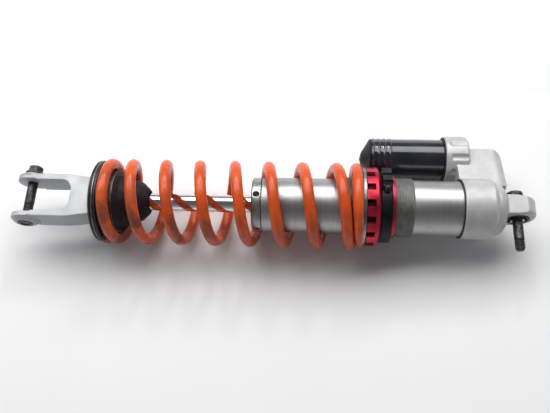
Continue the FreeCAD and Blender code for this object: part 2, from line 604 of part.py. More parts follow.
# ---------------------------------------------------------------- rod and piston
def rod_assembly():
    length = "(rod_right - rod_left)"
    shoulder = "(rod_shoulder - rod_left)"
    node(revolved("rod_turned", [
        ("0", "rod_bore"), ("0", "rod_radius - 1"), ("1", "rod_radius"),
        (shoulder + " - 0.5", "rod_radius"), (shoulder, "rod_radius - 0.5"),
        (shoulder, "stud_radius"), (length + " - edge_break", "stud_radius"),
        (length, "stud_radius - edge_break"), (length, "orifice_radius"),
        (length + " - 9", "orifice_radius"), (length + " - 10.5", "rod_bore"),
    ], x="rod_left"), "piston_rod")
    node(revolved("needle_rod", [
        ("0", "0"), ("0", "needle_radius - 0.5"), ("0.5", "needle_radius"),
        ("rod_right - rod_left - 16", "needle_radius"), ("rod_right - rod_left - 8", "0.6"),
        ("rod_right - rod_left - 8", "0"),
    ], x="rod_left - 2.2"), "rebound_needle")
    node(ring("bumper", "rod_radius + press_gap", "bumper_radius", "bumper_length",
              x="rod_shoulder - bumper_length - 0.7"), "topout_bumper")
    stack("compression_shims", "rod_shoulder", COMPRESSION_SHIMS)
    piston = revolved("piston_turned", [
        ("0", "stud_radius + press_gap"), ("0", "piston_radius - 1"), ("1", "piston_radius"),
        ("3", "piston_radius"), ("3", "piston_radius - band_groove"),
        ("piston_length - 3", "piston_radius - band_groove"),
        ("piston_length - 3", "piston_radius"), ("piston_length - 1", "piston_radius"),
        ("piston_length", "piston_radius - 1"), ("piston_length", "stud_radius + press_gap"),
    ], x="piston_left")
    ports = [cylinder("port_%d" % number, "port_radius", "piston_length + 2", x="piston_left - 1",
                      y="port_circle * cos(%d * 45deg)" % number,
                      z="port_circle * sin(%d * 45deg)" % number, turn=ALONG_X)
             for number in range(8)]
    node(cut("piston", piston, *ports), "piston")
    node(ring("band", "piston_radius - band_groove + press_gap", "tube_bore - fit_gap",
              "piston_length - 6.2", x="piston_left + 3.1"), "piston_band")
    stack("rebound_shims", "piston_left + piston_length", REBOUND_SHIMS)
    nut_left = "piston_left + piston_length + %d" % len(REBOUND_SHIMS)
    nut = hexagon("piston_nut_hex", "piston_nut_flats", "piston_nut_length", x=nut_left,
                  turn=ALONG_X)
    hole = cylinder("piston_nut_hole", "stud_radius + press_gap", "piston_nut_length + 2",
                    x=nut_left + " - 1", turn=ALONG_X)
    node(cut("piston_nut", nut, hole), "piston_nut")


def stack(name, left, radii):
    """A pack of shims 1 mm apart, seated on one another, as one turned piece."""
    corners = [("0", "stud_radius + press_gap")]
    for number, radius in enumerate(radii):
        corners.append((str(number), str(radius)))
        corners.append((str(number + 1), str(radius)))
    corners.append((str(len(radii)), "stud_radius + press_gap"))
    node(revolved(name + "_turned", corners, x=left), name)


# ---------------------------------------------------------------- spring and seats
def spring():
    """Two flat end turns joined by a helix, all of round wire."""
    wire, coil, gap = value("wire_radius"), value("coil_radius"), value("spring_gap")
    flat = value("dead_turns")
    length = value("spring_right - spring_left") - 2 * (wire + gap)
    turns = value("active_turns")
    axis = FreeCAD.Vector(0, 0, 1)
    sections = []
    for level, start in ((0, 0), (length, flat + turns)):
        dead = Part.makeTorus(coil, wire, FreeCAD.Vector(), axis, 0, 360, 360 * flat)
        dead.rotate(FreeCAD.Vector(), axis, 360 * start)
        dead.translate(FreeCAD.Vector(0, 0, level))
        sections.append(dead)
    helix = Part.makeHelix(length / turns, length, coil)
    helix.rotate(FreeCAD.Vector(), axis, 360 * flat)
    begin = helix.Edges[0].valueAt(helix.Edges[0].FirstParameter)
    heading = helix.Edges[0].tangentAt(helix.Edges[0].FirstParameter)
    ring_wire = Part.Wire(Part.makeCircle(wire, begin, heading))
    sections.append(helix.makePipeShell([ring_wire], True, True))
    ends = (begin, helix.Edges[-1].valueAt(helix.Edges[-1].LastParameter))
    sections += [Part.makeSphere(wire, end) for end in ends]
    coil_solid = sections[0].multiFuse(sections[1:])
    feature = doc.addObject("Part::Feature", "spring")
    feature.Shape = coil_solid
    turn = ALONG_X * FreeCAD.Rotation(FreeCAD.Vector(0, 0, 1), value("spring_start") + 90)
    feature.Placement = FreeCAD.Placement(
        FreeCAD.Vector(value("spring_left") + wire + gap, 0, 0), turn)
    node(feature, "spring")


def spring_seats():
    band_left = "(spring_left - seat_guide - seat_edge - seat_band)"
    node(revolved("seat_turned", [
        ("0", "rod_radius + 0.5"), ("0", "seat_radius - 3"), ("1.4", "seat_radius - 0.6"),
        ("1.9", "seat_radius"), ("2.6", "seat_radius"), ("2.9", "seat_radius - 0.8"),
        ("3.3", "seat_radius - 0.8"), ("3.6", "seat_radius"), ("seat_band", "seat_radius"),
        ("seat_band", "rod_radius + 0.5"),
    ], x=band_left), "spring_seat")
    node(ring("seat_washer_ring", "rod_radius + 0.5", "seat_radius + 0.3", "seat_edge",
              x=band_left + " + seat_band"), "seat_washer")
    node(ring("guide_ring", "rod_radius + 0.5", "seat_radius - 1", "seat_guide",
              x="spring_left - seat_guide"), "spring_guide")
    node(revolved("cup_turned", [
        ("0", "rod_radius + 0.5"), ("0", "cup_radius"), ("cup_length", "cup_radius"),
        ("cup_length", "cup_radius - cup_wall"), ("cup_wall", "cup_radius - cup_wall"),
        ("cup_wall", "rod_radius + 0.5"),
    ], x="spring_left"), "bump_stop_cup")
    node(revolved("bump_turned", [
        ("0", "bump_bore"), ("0", "cup_radius - cup_wall - 0.1"),
        ("cup_length + 1", "cup_radius - cup_wall - 0.1", "2"),
        ("cup_length + 5", "bump_belly", "2"), ("bump_length * 0.55", "bump_body", "2"),
        ("bump_length * 0.6", "bump_waist", "2"), ("bump_length * 0.72", "bump_tip", "3"),
        ("bump_length", "bump_nose"), ("bump_length", "bump_nose - 1"),
        ("bump_length * 0.9", "bump_bore"),
    ], x="spring_left + cup_wall"), "bump_stop")


def preload():
    node(ring("thrust", "thread_bore + 0.3", "washer_radius", "washer_length",
              x="spring_right"), "thrust_washer")
    collar_left = "(spring_right + washer_length + collar_gap)"
    body = revolved("collar_turned", [
        ("0", "thread_bore"), ("0", "collar_radius - 0.6"), ("0.6", "collar_radius"),
        ("collar_flange - 0.6", "collar_radius"), ("collar_cone", "collar_cone_radius"),
        ("collar_cone", "hub_radius"), ("collar_length", "hub_radius"),
        ("collar_length", "thread_bore"),
    ], x=collar_left, turn=FreeCAD.Rotation(FreeCAD.Vector(1, 0, 0), value("notch_phase")))
    near, far = "-1", "notch_length"
    sketch = outline_sketch(body, "notch_outline", [
        (near, "-notch_width / 2"), (far, "-notch_width / 2"),
        (far, "notch_width / 2"), (near, "notch_width / 2"),
    ], "XY_Plane", offset="collar_radius - notch_depth")
    notch = body.newObject("PartDesign::Pocket", "notch")
    notch.Profile = sketch
    notch.Reversed = True
    bind(notch, "Length", "2 * notch_depth")
    polar(body, notch, "notch_count")
    node(body, "preload_collar")
    ring_solid = revolved("clamp_turned", [
        ("0", "hub_radius + press_gap"), ("0", "clamp_radius - edge_break"),
        ("edge_break", "clamp_radius"), ("clamp_length - edge_break", "clamp_radius"),
        ("clamp_length", "clamp_radius - edge_break"), ("clamp_length", "hub_radius + press_gap"),
    ], x="clamp_left")
    ears = box("clamp_ears", "clamp_length - ear_inset", "ear_width",
               "ear_radius - hub_radius + 6",
               x="clamp_left + ear_inset", y="-ear_width / 2", z="hub_radius - 6")
    boss = box("clamp_boss", "clamp_length - 2 * ear_inset", "boss_reach",
               "boss_height / 2", x="clamp_left + ear_inset", y="-boss_reach",
               z="boss_height / 2")
    slot = box("clamp_slit", "clamp_length + 2", "clamp_slot", "ear_radius",
               x="clamp_left - 1", y="-clamp_slot / 2", z="1")
    screw_middle = "clamp_left + clamp_length / 2"
    screw_hole = cylinder("clamp_hole", "clamp_screw_radius + fit_gap", "2 * ear_width",
                          x=screw_middle, y="-ear_width", z="screw_rise",
                          turn=TO_HEAD * ALONG_X)
    head_seat = cylinder("clamp_head_seat", "screw_head_radius + 0.3", "boss_reach",
                         x=screw_middle, y="-2 * boss_reach", z="screw_rise",
                         turn=TO_HEAD * ALONG_X)
    hub_clear = cylinder("clamp_hub_clear", "hub_radius + press_gap", "clamp_length + 2",
                         x="clamp_left - 1", turn=ALONG_X)
    clamp = cut("clamp_ring", fuse("clamp_solid", ring_solid, ears, boss), slot, screw_hole,
                head_seat, hub_clear)
    lean = FreeCAD.Rotation(FreeCAD.Vector(1, 0, 0), value("clamp_angle - 90"))
    clamp.Placement = FreeCAD.Placement(FreeCAD.Vector(), lean)
    node(clamp, "clamp_ring")
    shank_end = "screw_head_length + boss_reach + ear_width / 2"
    shank = revolved("clamp_screw_turned", [
        ("0", "0"), ("0", "screw_head_radius", "0.6"), ("screw_head_length", "screw_head_radius"),
        ("screw_head_length", "clamp_screw_radius"), (shank_end, "clamp_screw_radius"),
        (shank_end, "0"),
    ], x=screw_middle, y="-boss_reach - screw_head_length - press_gap", z="screw_rise",
        turn=TO_HEAD)
    socket = hexagon("clamp_screw_socket", "clamp_screw_radius * 1.6", "screw_head_length - 1",
                     x=screw_middle, y="-boss_reach - screw_head_length - 1", z="screw_rise",
                     turn=TO_HEAD * ALONG_X)
    screw = cut("clamp_screw", shank, socket)
    screw.Placement = FreeCAD.Placement(FreeCAD.Vector(), lean)
    node(screw, "clamp_screw")


# ---------------------------------------------------------------- clevis
def clevis():
    fork = doc.addObject("PartDesign::Body", "clevis_fork")
    fork_sketch = outline_sketch(fork, "fork_outline", [
        ("-clevis_tip - 3", "-clevis_half_width"), ("clevis_arm_end", "-clevis_half_width"),
        ("clevis_neck", "-neck_half_width"), ("clevis_neck", "neck_half_width"),
        ("clevis_arm_end", "clevis_half_width"), ("-clevis_tip - 3", "clevis_half_width"),
        ("-clevis_tip - 3", "clevis_gap"), ("clevis_throat", "clevis_gap"),
        ("clevis_throat", "-clevis_gap"), ("-clevis_tip - 3", "-clevis_gap"),
    ], "XY_Plane")
    fork_pad = fork.newObject("PartDesign::Pad", "fork_pad")
    fork_pad.Profile = fork_sketch
    fork_pad.Midplane = True
    bind(fork_pad, "Length", "2 * neck_half_height")
    doc.recompute()
    throat = edges_where(fork_pad, lambda middle: abs(middle.z) < 1e-3
                         and abs(middle.x - value("clevis_throat")) < 1e-3)
    smooth = fork.newObject("PartDesign::Fillet", "throat_rounds")
    smooth.Base = (fork_pad, throat)
    bind(smooth, "Radius", "throat_round")
    doc.recompute()
    waist = edges_where(smooth, lambda middle: abs(middle.z) < 1e-3
                        and abs(middle.x - value("clevis_arm_end")) < 1e-3
                        and abs(middle.y) > value("clevis_gap + 1"))
    shoulder = fork.newObject("PartDesign::Fillet", "arm_rounds")
    shoulder.Base = (smooth, waist)
    bind(shoulder, "Radius", "arm_round")
    place(fork, x="clevis_bolt_x")

    side = doc.addObject("PartDesign::Body", "clevis_side")
    side_sketch = outline_sketch(side, "side_outline", [
        ("-clevis_tip", "-clevis_half_height"), ("clevis_arm_end", "-clevis_half_height"),
        ("clevis_neck", "-neck_half_height"), ("clevis_neck", "neck_half_height"),
        ("clevis_arm_end", "clevis_half_height"), ("-clevis_tip", "clevis_half_height"),
    ], "XZ_Plane")
    side_pad = side.newObject("PartDesign::Pad", "side_pad")
    side_pad.Profile = side_sketch
    side_pad.Midplane = True
    bind(side_pad, "Length", "2 * clevis_half_width")
    doc.recompute()
    tips = edges_where(side_pad, lambda middle: abs(middle.y) < 1e-3
                       and abs(middle.x + value("clevis_tip")) < 1e-3)
    nose = side.newObject("PartDesign::Fillet", "tip_rounds")
    nose.Base = (side_pad, tips)
    bind(nose, "Radius", "clevis_half_height - 0.3")
    doc.recompute()
    faces = ["Face%d" % number for number, face in enumerate(nose.Shape.Faces, start=1)
             if abs(abs(face.CenterOfMass.y) - value("clevis_half_width")) < 1e-3]
    rim = side.newObject("PartDesign::Chamfer", "side_chamfers")
    rim.Base = (nose, faces)
    bind(rim, "Size", "clevis_chamfer")
    place(side, x="clevis_bolt_x")

    blank = common("clevis_blank", fork, side)
    spot = cylinder("clevis_spotfaces", "spotface_radius", "2 * (clevis_gap + spotface_depth)",
                    x="clevis_bolt_x", y="-clevis_gap - spotface_depth",
                    turn=TO_HEAD * ALONG_X)
    outer_spot = cylinder("clevis_outer_spotface", "spotface_radius", "5", x="clevis_bolt_x",
                          y="-clevis_half_width - 5 + spotface_depth",
                          turn=TO_HEAD * ALONG_X)
    bolt_hole = cylinder("clevis_bolt_hole", "bolt_radius + fit_gap", "60", x="clevis_bolt_x",
                         y="0", turn=TO_HEAD * ALONG_X)
    insert_hole = cylinder("clevis_insert_hole", "insert_radius + press_gap", "40",
                           x="clevis_bolt_x", y="-40", turn=TO_HEAD * ALONG_X)
    rod_hole = cylinder("clevis_rod_hole", "rod_radius + press_gap", "40", x="rod_left",
                        turn=ALONG_X)
    needle_hole = cylinder("clevis_needle_hole", "needle_radius + 0.3", "10",
                           x="rod_left - 5", turn=ALONG_X)
    adjuster_hole = cylinder("clevis_adjuster_hole", "rebound_radius + fit_gap",
                             "neck_half_height + 4.5", x="clevis_bolt_x + rebound_x",
                             z="-neck_half_height - 1")
    adjuster_sink = cylinder("clevis_adjuster_sink", "rebound_head_radius + 0.1",
                             "rebound_head + 2", x="clevis_bolt_x + rebound_x",
                             z="-neck_half_height - 1.2")
    bosses = [revolved("clevis_boss_%d" % number, [
        ("0", "0"), ("0", "boss_foot"), ("boss_seat - clevis_half_width + spotface_depth",
                                         "boss_face"),
        ("boss_seat - clevis_half_width + spotface_depth", "0"),
    ], x="clevis_bolt_x", y=start, turn=turn) for number, (start, turn) in enumerate((
        ("clevis_half_width - spotface_depth", TO_HEAD),
        ("spotface_depth - clevis_half_width", TO_TIP)))]
    casting = fuse("clevis_bossed", cut("clevis_faced", blank, spot, outer_spot), *bosses)
    node(cut("clevis", casting, bolt_hole, insert_hole, rod_hole, needle_hole, adjuster_hole,
             adjuster_sink), "clevis")
    node(ring("insert_ring", "bolt_radius + press_gap", "insert_radius",
              "insert_end - clevis_gap - spotface_depth", x="clevis_bolt_x", y="-insert_end",
              turn=TO_HEAD), "clevis_thread_insert")
    shank = revolved("clevis_bolt_turned", [
        ("0", "0"), ("0", "flange_radius - 0.6"), ("0.6", "flange_radius"),
        ("flange_thick - 0.6", "flange_radius"), ("flange_thick", "flange_radius - 1.2"),
        ("flange_thick", "0"),
    ], x="clevis_bolt_x", y="boss_seat", turn=TO_HEAD)
    stem = revolved("clevis_bolt_stem", [
        ("0", "0"), ("0", "bolt_radius"),
        ("boss_seat + insert_end - 1.6", "bolt_radius"),
        ("boss_seat + insert_end - 0.4", "bolt_radius - 1.2"),
        ("boss_seat + insert_end - 0.4", "0"),
    ], x="clevis_bolt_x", y="boss_seat", turn=TO_TIP)
    hex_head = hexagon("clevis_bolt_hex", "hex_flats", "hex_height", x="clevis_bolt_x",
                       y="boss_seat + flange_thick", turn=TO_HEAD * ALONG_X)
    dome = revolved("clevis_bolt_dome", [
        ("0", "0"), ("0", "hex_flats / 2 + 1.3"), ("hex_height - 1", "hex_flats / 2 + 1.3"),
        ("hex_height", "hex_flats / 2 - 0.2"), ("hex_height", "0"),
    ], x="clevis_bolt_x", y="boss_seat + flange_thick", turn=TO_HEAD)
    head = common("clevis_bolt_head", hex_head, dome)
    dish = cylinder("clevis_bolt_dish", "dish_radius", "2", x="clevis_bolt_x",
                    y="boss_seat + flange_thick + hex_height - 1",
                    turn=TO_HEAD * ALONG_X)
    node(cut("clevis_bolt", fuse("clevis_bolt_solid", shank, stem, head), dish), "clevis_bolt")
    screw = revolved("rebound_screw_turned", [
        ("0", "0"), ("0", "rebound_head_radius - 0.5"), ("0.5", "rebound_head_radius"),
        ("rebound_head", "rebound_head_radius"), ("rebound_head", "rebound_radius"),
        ("neck_half_height + 2", "rebound_radius"), ("neck_half_height + 2", "0"),
    ], x="clevis_bolt_x + rebound_x", z="-neck_half_height + 0.6",
        turn=FROM_BELOW)
    slit = box("rebound_slit", "slit_width", "2 * rebound_head_radius + 1", "2",
               x="clevis_bolt_x + rebound_x - slit_width / 2", y="-rebound_head_radius - 0.5",
               z="-neck_half_height - 0.2")
    node(cut("rebound_screw", screw, slit), "rebound_adjuster")


def edges_where(feature, wanted):
    """The names of a feature's edges whose middle passes a test."""
    return ["Edge%d" % number for number, edge in enumerate(feature.Shape.Edges, start=1)
            if wanted(edge.CenterOfMass)]


head_casting()
upper_eye()
damper()
reservoir()
compression_valve()
rod_assembly()
spring()
spring_seats()
preload()
clevis()
doc.recompute()

# ---------------------------------------------------------------- checks and files
problems = [item.Name for item in doc.Objects
            if "Invalid" in item.State or "Error" in item.State]
for item in nodes:
    shape = item.Shape
    if shape.isNull() or not shape.isValid() or not shape.Solids or shape.Volume <= 0:
        problems.append(item.Label)
if problems:
    raise RuntimeError("objects failed: " + ", ".join(problems))
os.makedirs("parts", exist_ok=True)
for item in nodes:
    item.Shape.exportStep("parts/%s.step" % item.Label)
    print(item.Label, round(item.Shape.Volume), len(item.Shape.Solids))
print(len(nodes), "nodes")
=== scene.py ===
"""Looks for the rear shock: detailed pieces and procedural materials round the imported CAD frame.

Lengths below are millimetres until they reach a mesh, which is in metres. An angle about the
damper's axis is measured from +Y towards +Z.
"""
import json
import math

import bmesh
import bpy
import numpy as np
from mathutils import Matrix, Vector

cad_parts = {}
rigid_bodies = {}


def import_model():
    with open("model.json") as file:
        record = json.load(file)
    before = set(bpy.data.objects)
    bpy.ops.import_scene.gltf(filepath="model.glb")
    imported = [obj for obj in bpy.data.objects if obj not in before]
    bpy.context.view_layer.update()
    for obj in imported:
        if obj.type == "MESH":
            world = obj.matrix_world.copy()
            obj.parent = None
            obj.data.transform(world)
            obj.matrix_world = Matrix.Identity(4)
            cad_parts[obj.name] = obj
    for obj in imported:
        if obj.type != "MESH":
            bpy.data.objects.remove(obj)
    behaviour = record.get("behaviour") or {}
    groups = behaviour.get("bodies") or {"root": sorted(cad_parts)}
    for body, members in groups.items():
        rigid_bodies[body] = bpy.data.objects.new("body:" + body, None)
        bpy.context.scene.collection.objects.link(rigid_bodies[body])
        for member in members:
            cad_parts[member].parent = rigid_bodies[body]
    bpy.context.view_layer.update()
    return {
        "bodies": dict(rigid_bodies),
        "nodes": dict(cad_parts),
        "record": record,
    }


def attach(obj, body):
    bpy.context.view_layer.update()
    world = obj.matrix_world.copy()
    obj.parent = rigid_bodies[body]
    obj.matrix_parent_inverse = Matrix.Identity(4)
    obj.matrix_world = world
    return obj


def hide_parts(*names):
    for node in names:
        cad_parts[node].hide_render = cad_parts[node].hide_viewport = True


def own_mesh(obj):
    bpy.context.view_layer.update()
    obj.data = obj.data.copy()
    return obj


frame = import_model()

MM = 0.001
TAU = 2 * math.pi
# Sizes that the CAD model has too and more than one piece or material uses
TUBE_LEFT, TUBE_RIGHT, TUBE_RADIUS, GLAND_BORE = -257.2, -36, 28, 26
BAND_LEFT, BAND_RIGHT, BAND_ROOT, BAND_CREST = -172, -105.6, 29.0, 30
RESERVOIR_LEFT, RESERVOIR_RADIUS, RESERVOIR_BORE = -144, 22, 19.5
SPRING_LEFT, SPRING_LENGTH, COIL_RADIUS, WIRE_RADIUS = -421, 264.5, 38.75, 5.75
SEAT_BORE = 9.5
NOTCH_FLOOR, NOTCH_END = 36.9, -144.5
FINE_PITCH = 1.5
BOLT_RADIUS, CLEVIS_BOLT_X = 5, -504.7
FLOOR_HEIGHT = -0.0446
NODES = frame["nodes"]
SLOT_OF = {s["node"]: s["material_slot"] for s in frame["record"]["subparts"]}
BODY_OF = {node: body for body, nodes in frame["record"]["behaviour"]["bodies"].items()
           for node in nodes}


# ---------------------------------------------------------------- node helpers
def join(tree, socket, source):
    """Link a socket to another one, or set it to a plain number, colour or object."""
    if isinstance(source, bpy.types.NodeSocket):
        tree.links.new(source, socket)
    else:
        socket.default_value = source


def add_node(tree, kind, inputs=(), **settings):
    made = tree.nodes.new(kind)
    for key, setting in settings.items():
        setattr(made, key, setting)
    for socket, source in dict(inputs).items():
        join(tree, made.inputs[socket], source)
    return made


# ---------------------------------------------------------------- camera, stage and lights
def camera():
    """The photograph's view, from its place, the point it looks at and its upward direction."""
    lens = bpy.data.cameras.new("camera")
    lens.lens, lens.sensor_width = 40.64, 36
    lens.clip_start = 0.01
    eye = bpy.data.objects.new("camera", lens)
    place, target = Vector((-0.2072, -0.2404, 0.5950)), Vector((-0.2446, -0.0020, 0))
    upward = Vector((-0.0228, 0.9275, 0.3730))
    back = (place - target).normalized()
    right = upward.cross(back).normalized()
    turn = Matrix((right, back.cross(right), back)).transposed()
    eye.matrix_world = Matrix.Translation(place) @ turn.to_4x4()
    bpy.context.scene.collection.objects.link(eye)
    bpy.context.scene.camera = eye


def lamp(name, place, target, size, power):
    data = bpy.data.lights.new(name, "AREA")
    data.shape, data.size, data.size_y = "RECTANGLE", size[0], size[1]
    data.energy = power
    light = bpy.data.objects.new(name, data)
    light.location = place
    light.rotation_euler = (Vector(target) - Vector(place)).to_track_quat("-Z", "Y").to_euler()
    bpy.context.scene.collection.objects.link(light)


def lights():
    """Two lamps, each leaning up from +Y by an angle, and a world dimmer overhead."""
    middle = Vector((-0.27, 0, 0))
    for name, angle, away, along, size, power in (
            ("key_softbox", 56, 2.2, -0.25, (4.4, 1.5), 87),
            ("small_lamp", 40, 1.3, 0.12, (0.10, 0.16), 1.6)):
        lean = math.radians(angle)
        place = middle + Vector((along, away * math.cos(lean), away * math.sin(lean)))
        lamp(name, place, middle, size, power)
    world = bpy.data.worlds.new("studio")
    world.use_nodes = True
    tree = world.node_tree
    around = add_node(tree, "ShaderNodeTexCoord").outputs["Generated"]
    height = add_node(tree, "ShaderNodeSeparateXYZ", {"Vector": around}).outputs["Z"]
    horizon, overhead = 0.40, 0.12
    ceiling = add_node(tree, "ShaderNodeMapRange", {
        "Value": height, "From Min": -0.05, "From Max": 0.75, "To Min": horizon,
        "To Max": overhead})
    background = tree.nodes["Background"]
    join(tree, background.inputs["Color"], (0.95, 0.97, 1, 1))
    join(tree, background.inputs["Strength"], ceiling.outputs["Result"])
    bpy.context.scene.world = world
    bpy.context.scene.view_settings.view_transform = "Standard"


def stage():
    """A sheet of pale paper that rises gently from a soft fold behind the shock."""
    fold, rise = 0.165, math.radians(4)
    across = [-1.6, -0.6, 0, fold - 0.006, fold - 0.002, fold + 0.002, fold + 0.006, 0.6, 1.6]
    verts, faces = [], []
    for y in across:
        lift = max(0, y - fold) * math.tan(rise)
        verts += [(x, y, FLOOR_HEIGHT + lift) for x in (-2.2, 1.6)]
    for row in range(len(across) - 1):
        k = 2 * row
        faces.append((k, k + 1, k + 3, k + 2))
    sheet = new_piece("floor", verts, faces)
    sheet.data.materials.append(paper_material())


# ---------------------------------------------------------------- materials
# Noise stretched into rings about X, as a lathe leaves
TURNING_LINES = (1, 0.004, 0.004)


class Nodes:
    """A short way to write a Principled material's nodes."""

    def __init__(self, name, colour, roughness, metallic=0.0, **fixed):
        self.material = bpy.data.materials.new(name)
        self.material.use_nodes = True
        self.tree = self.material.node_tree
        self.shader = self.tree.nodes["Principled BSDF"]
        self.material.diffuse_color = (*colour, 1)
        self.set("Base Color", (*colour, 1))
        self.set("Roughness", roughness)
        self.set("Metallic", metallic)
        for socket, number in fixed.items():
            self.set(socket.replace("_", " "), number)
        self.where = self.node("ShaderNodeTexCoord").outputs["Object"]

    def node(self, kind, inputs=(), **settings):
        return add_node(self.tree, kind, inputs, **settings)

    def set(self, socket, source):
        join(self.tree, self.shader.inputs[socket], source)

    def noise(self, size, detail=3.0, stretch=(1, 1, 1), roughness=0.55, distortion=0.0):
        """Noise whose features are about size millimetres across."""
        spread = self.node("ShaderNodeMapping", {"Vector": self.where, "Scale": stretch})
        made = self.node("ShaderNodeTexNoise", {
            "Vector": spread.outputs["Vector"], "Scale": 1 / (size * MM), "Detail": detail,
            "Roughness": roughness, "Distortion": distortion})
        return made.outputs["Fac"]

    def ramp(self, source, low, high, first=0.0, last=1.0):
        """A smooth step from first, where source is low, to last, where it is high."""
        made = self.node("ShaderNodeMapRange", {
            "Value": source, "From Min": low, "From Max": high,
            "To Min": first, "To Max": last}, interpolation_type="SMOOTHSTEP")
        return made.outputs["Result"]

    def math(self, operation, *sources):
        made = self.node("ShaderNodeMath", enumerate(sources), operation=operation)
        return made.outputs["Value"]

    def both(self, *sources):
        """The product of several masks or strengths."""
        out = sources[0]
        for source in sources[1:]:
            out = self.math("MULTIPLY", out, source)
        return out

    def mix(self, share, first, second):
        made = self.node("ShaderNodeMix", data_type="RGBA")
        for socket, source in ((made.inputs[0], share), (made.inputs[6], first),
                               (made.inputs[7], second)):
            if isinstance(source, tuple):
                source = (*source[:3], 1)
            join(self.tree, socket, source)
        return made.outputs[2]

    def axis(self, letter):
        made = self.node("ShaderNodeSeparateXYZ", {"Vector": self.where})
        return made.outputs[letter]

    def edges(self):
        """1 on convex edges, 0 elsewhere."""
        return self.ramp(self.node("ShaderNodeNewGeometry").outputs["Pointiness"], 0.52, 0.6)

    def hollows(self):
        """1 in concave corners, 0 elsewhere."""
        return self.ramp(self.node("ShaderNodeNewGeometry").outputs["Pointiness"],
                         0.42, 0.49, 1.0, 0.0)

    def bump(self, *layers):
        """Bump from (height, millimetres) pairs."""
        normal = None
        for height, depth in layers:
            inputs = {"Height": height, "Distance": depth * MM, "Strength": 1.0}
            if normal is not None:
                inputs["Normal"] = normal
            normal = self.node("ShaderNodeBump", inputs).outputs["Normal"]
        self.set("Normal", normal)
        return self


def paper_material():
    n = Nodes("paper", (0.86, 0.86, 0.865), 0.6)
    n.set("Base Color", n.mix(n.noise(120, 4), (0.84, 0.84, 0.85), (0.88, 0.88, 0.88)))
    return n.bump((n.noise(1.2, 3), 0.03)).material


def metal(name, light, dark, roughness, metallic=1.0, grain=0.6, grain_depth=0.01,
          blotch=14, grime=0.0, grime_colour=(0.05, 0.045, 0.04), wear=0.0,
          wear_colour=(0.62, 0.62, 0.6), rings=0.0, shade_core=None):
    """A metal surface: blotchy tone, fine grain, dirt in hollows and specks, worn edges, and
    painted shade inside a radius where shade_core is given.
    """
    n = Nodes(name, light, roughness, metallic)
    tone = n.mix(n.ramp(n.noise(blotch, 4), 0.35, 0.65), dark, light)
    rough = n.ramp(n.noise(blotch * 0.6, 5), 0.3, 0.7, roughness * 0.85, roughness * 1.2)
    if grime:
        speck = n.ramp(n.noise(2.2, 5, roughness=0.7), 0.62, 0.70)
        film = n.both(n.ramp(n.noise(9, 5), 0.45, 0.62), n.hollows())
        dirt = n.both(n.math("MAXIMUM", n.both(speck, n.ramp(n.noise(16, 2), 0.5, 0.6)), film),
                      grime)
        tone = n.mix(dirt, tone, grime_colour)
        rough = n.math("ADD", rough, n.both(dirt, 0.3))
    if wear:
        rub = n.both(n.edges(), n.ramp(n.noise(3, 4), 0.38, 0.6), wear)
        tone = n.mix(rub, tone, wear_colour)
    if shade_core:
        # Painted shade inside a radius, on the part left of an x, both in metres: a near black
        # colour where shadow falls
        radius, end = shade_core
        square = n.math("ADD", *(n.math("POWER", n.axis(letter), 2.0) for letter in "YZ"))
        inside = n.both(n.ramp(n.math("SQRT", square), radius, radius + 0.0009, 1.0, 0.0),
                        n.ramp(n.axis("X"), end - 0.0003, end, 1.0, 0.0))
        tone = n.mix(n.both(inside, 0.92), tone, (0.010, 0.006, 0.007))
        rough = n.math("ADD", rough, n.both(inside, 0.3))
    n.set("Base Color", tone)
    n.set("Roughness", rough)
    layers = [(n.noise(grain, 3), grain_depth), (n.noise(grain * 9, 3), grain_depth * 1.5)]
    if rings:
        lines = n.noise(rings, 3, stretch=TURNING_LINES)
        layers.append((lines, 0.006))
    return n.bump(*layers).material


def tube_material():
    """Turned and polished tube, with a dull thread band and fine scratches."""
    n = Nodes("turned_tube", (0.7, 0.7, 0.7), 0.2, 1.0)
    x = n.axis("X")
    start, end = BAND_LEFT * MM, BAND_RIGHT * MM
    band = n.both(n.ramp(x, start - 0.0008, start + 0.0004),
                  n.ramp(x, end, end + 0.0006, 1.0, 0.0))
    lines = n.noise(0.5, 3, stretch=TURNING_LINES)
    streaks = n.noise(5, 4, stretch=(0.25, 1, 1))
    tone = n.mix(n.ramp(lines, 0.35, 0.65), (0.40, 0.40, 0.40), (0.46, 0.46, 0.46))
    tone = n.mix(n.both(n.ramp(streaks, 0.62, 0.75), 0.5), tone, (0.35, 0.34, 0.32))
    scratch = n.both(n.ramp(n.noise(1.1, 2, stretch=(0.12, 1, 1), distortion=1.5), 0.67, 0.71),
                     n.ramp(n.noise(22, 2), 0.5, 0.62))
    tone = n.mix(scratch, tone, (0.12, 0.11, 0.1))
    dull = n.mix(n.ramp(n.noise(9, 3), 0.35, 0.65), (0.27, 0.27, 0.26), (0.35, 0.35, 0.34))
    n.set("Base Color", n.mix(band, tone, dull))
    polished = n.ramp(n.noise(18, 4), 0.3, 0.7, 0.38, 0.44)
    n.set("Roughness", n.math("ADD", n.math("ADD", polished, n.both(band, 0.2)),
                              n.both(scratch, 0.3)))
    return n.bump((lines, 0.002), (scratch, -0.01)).material


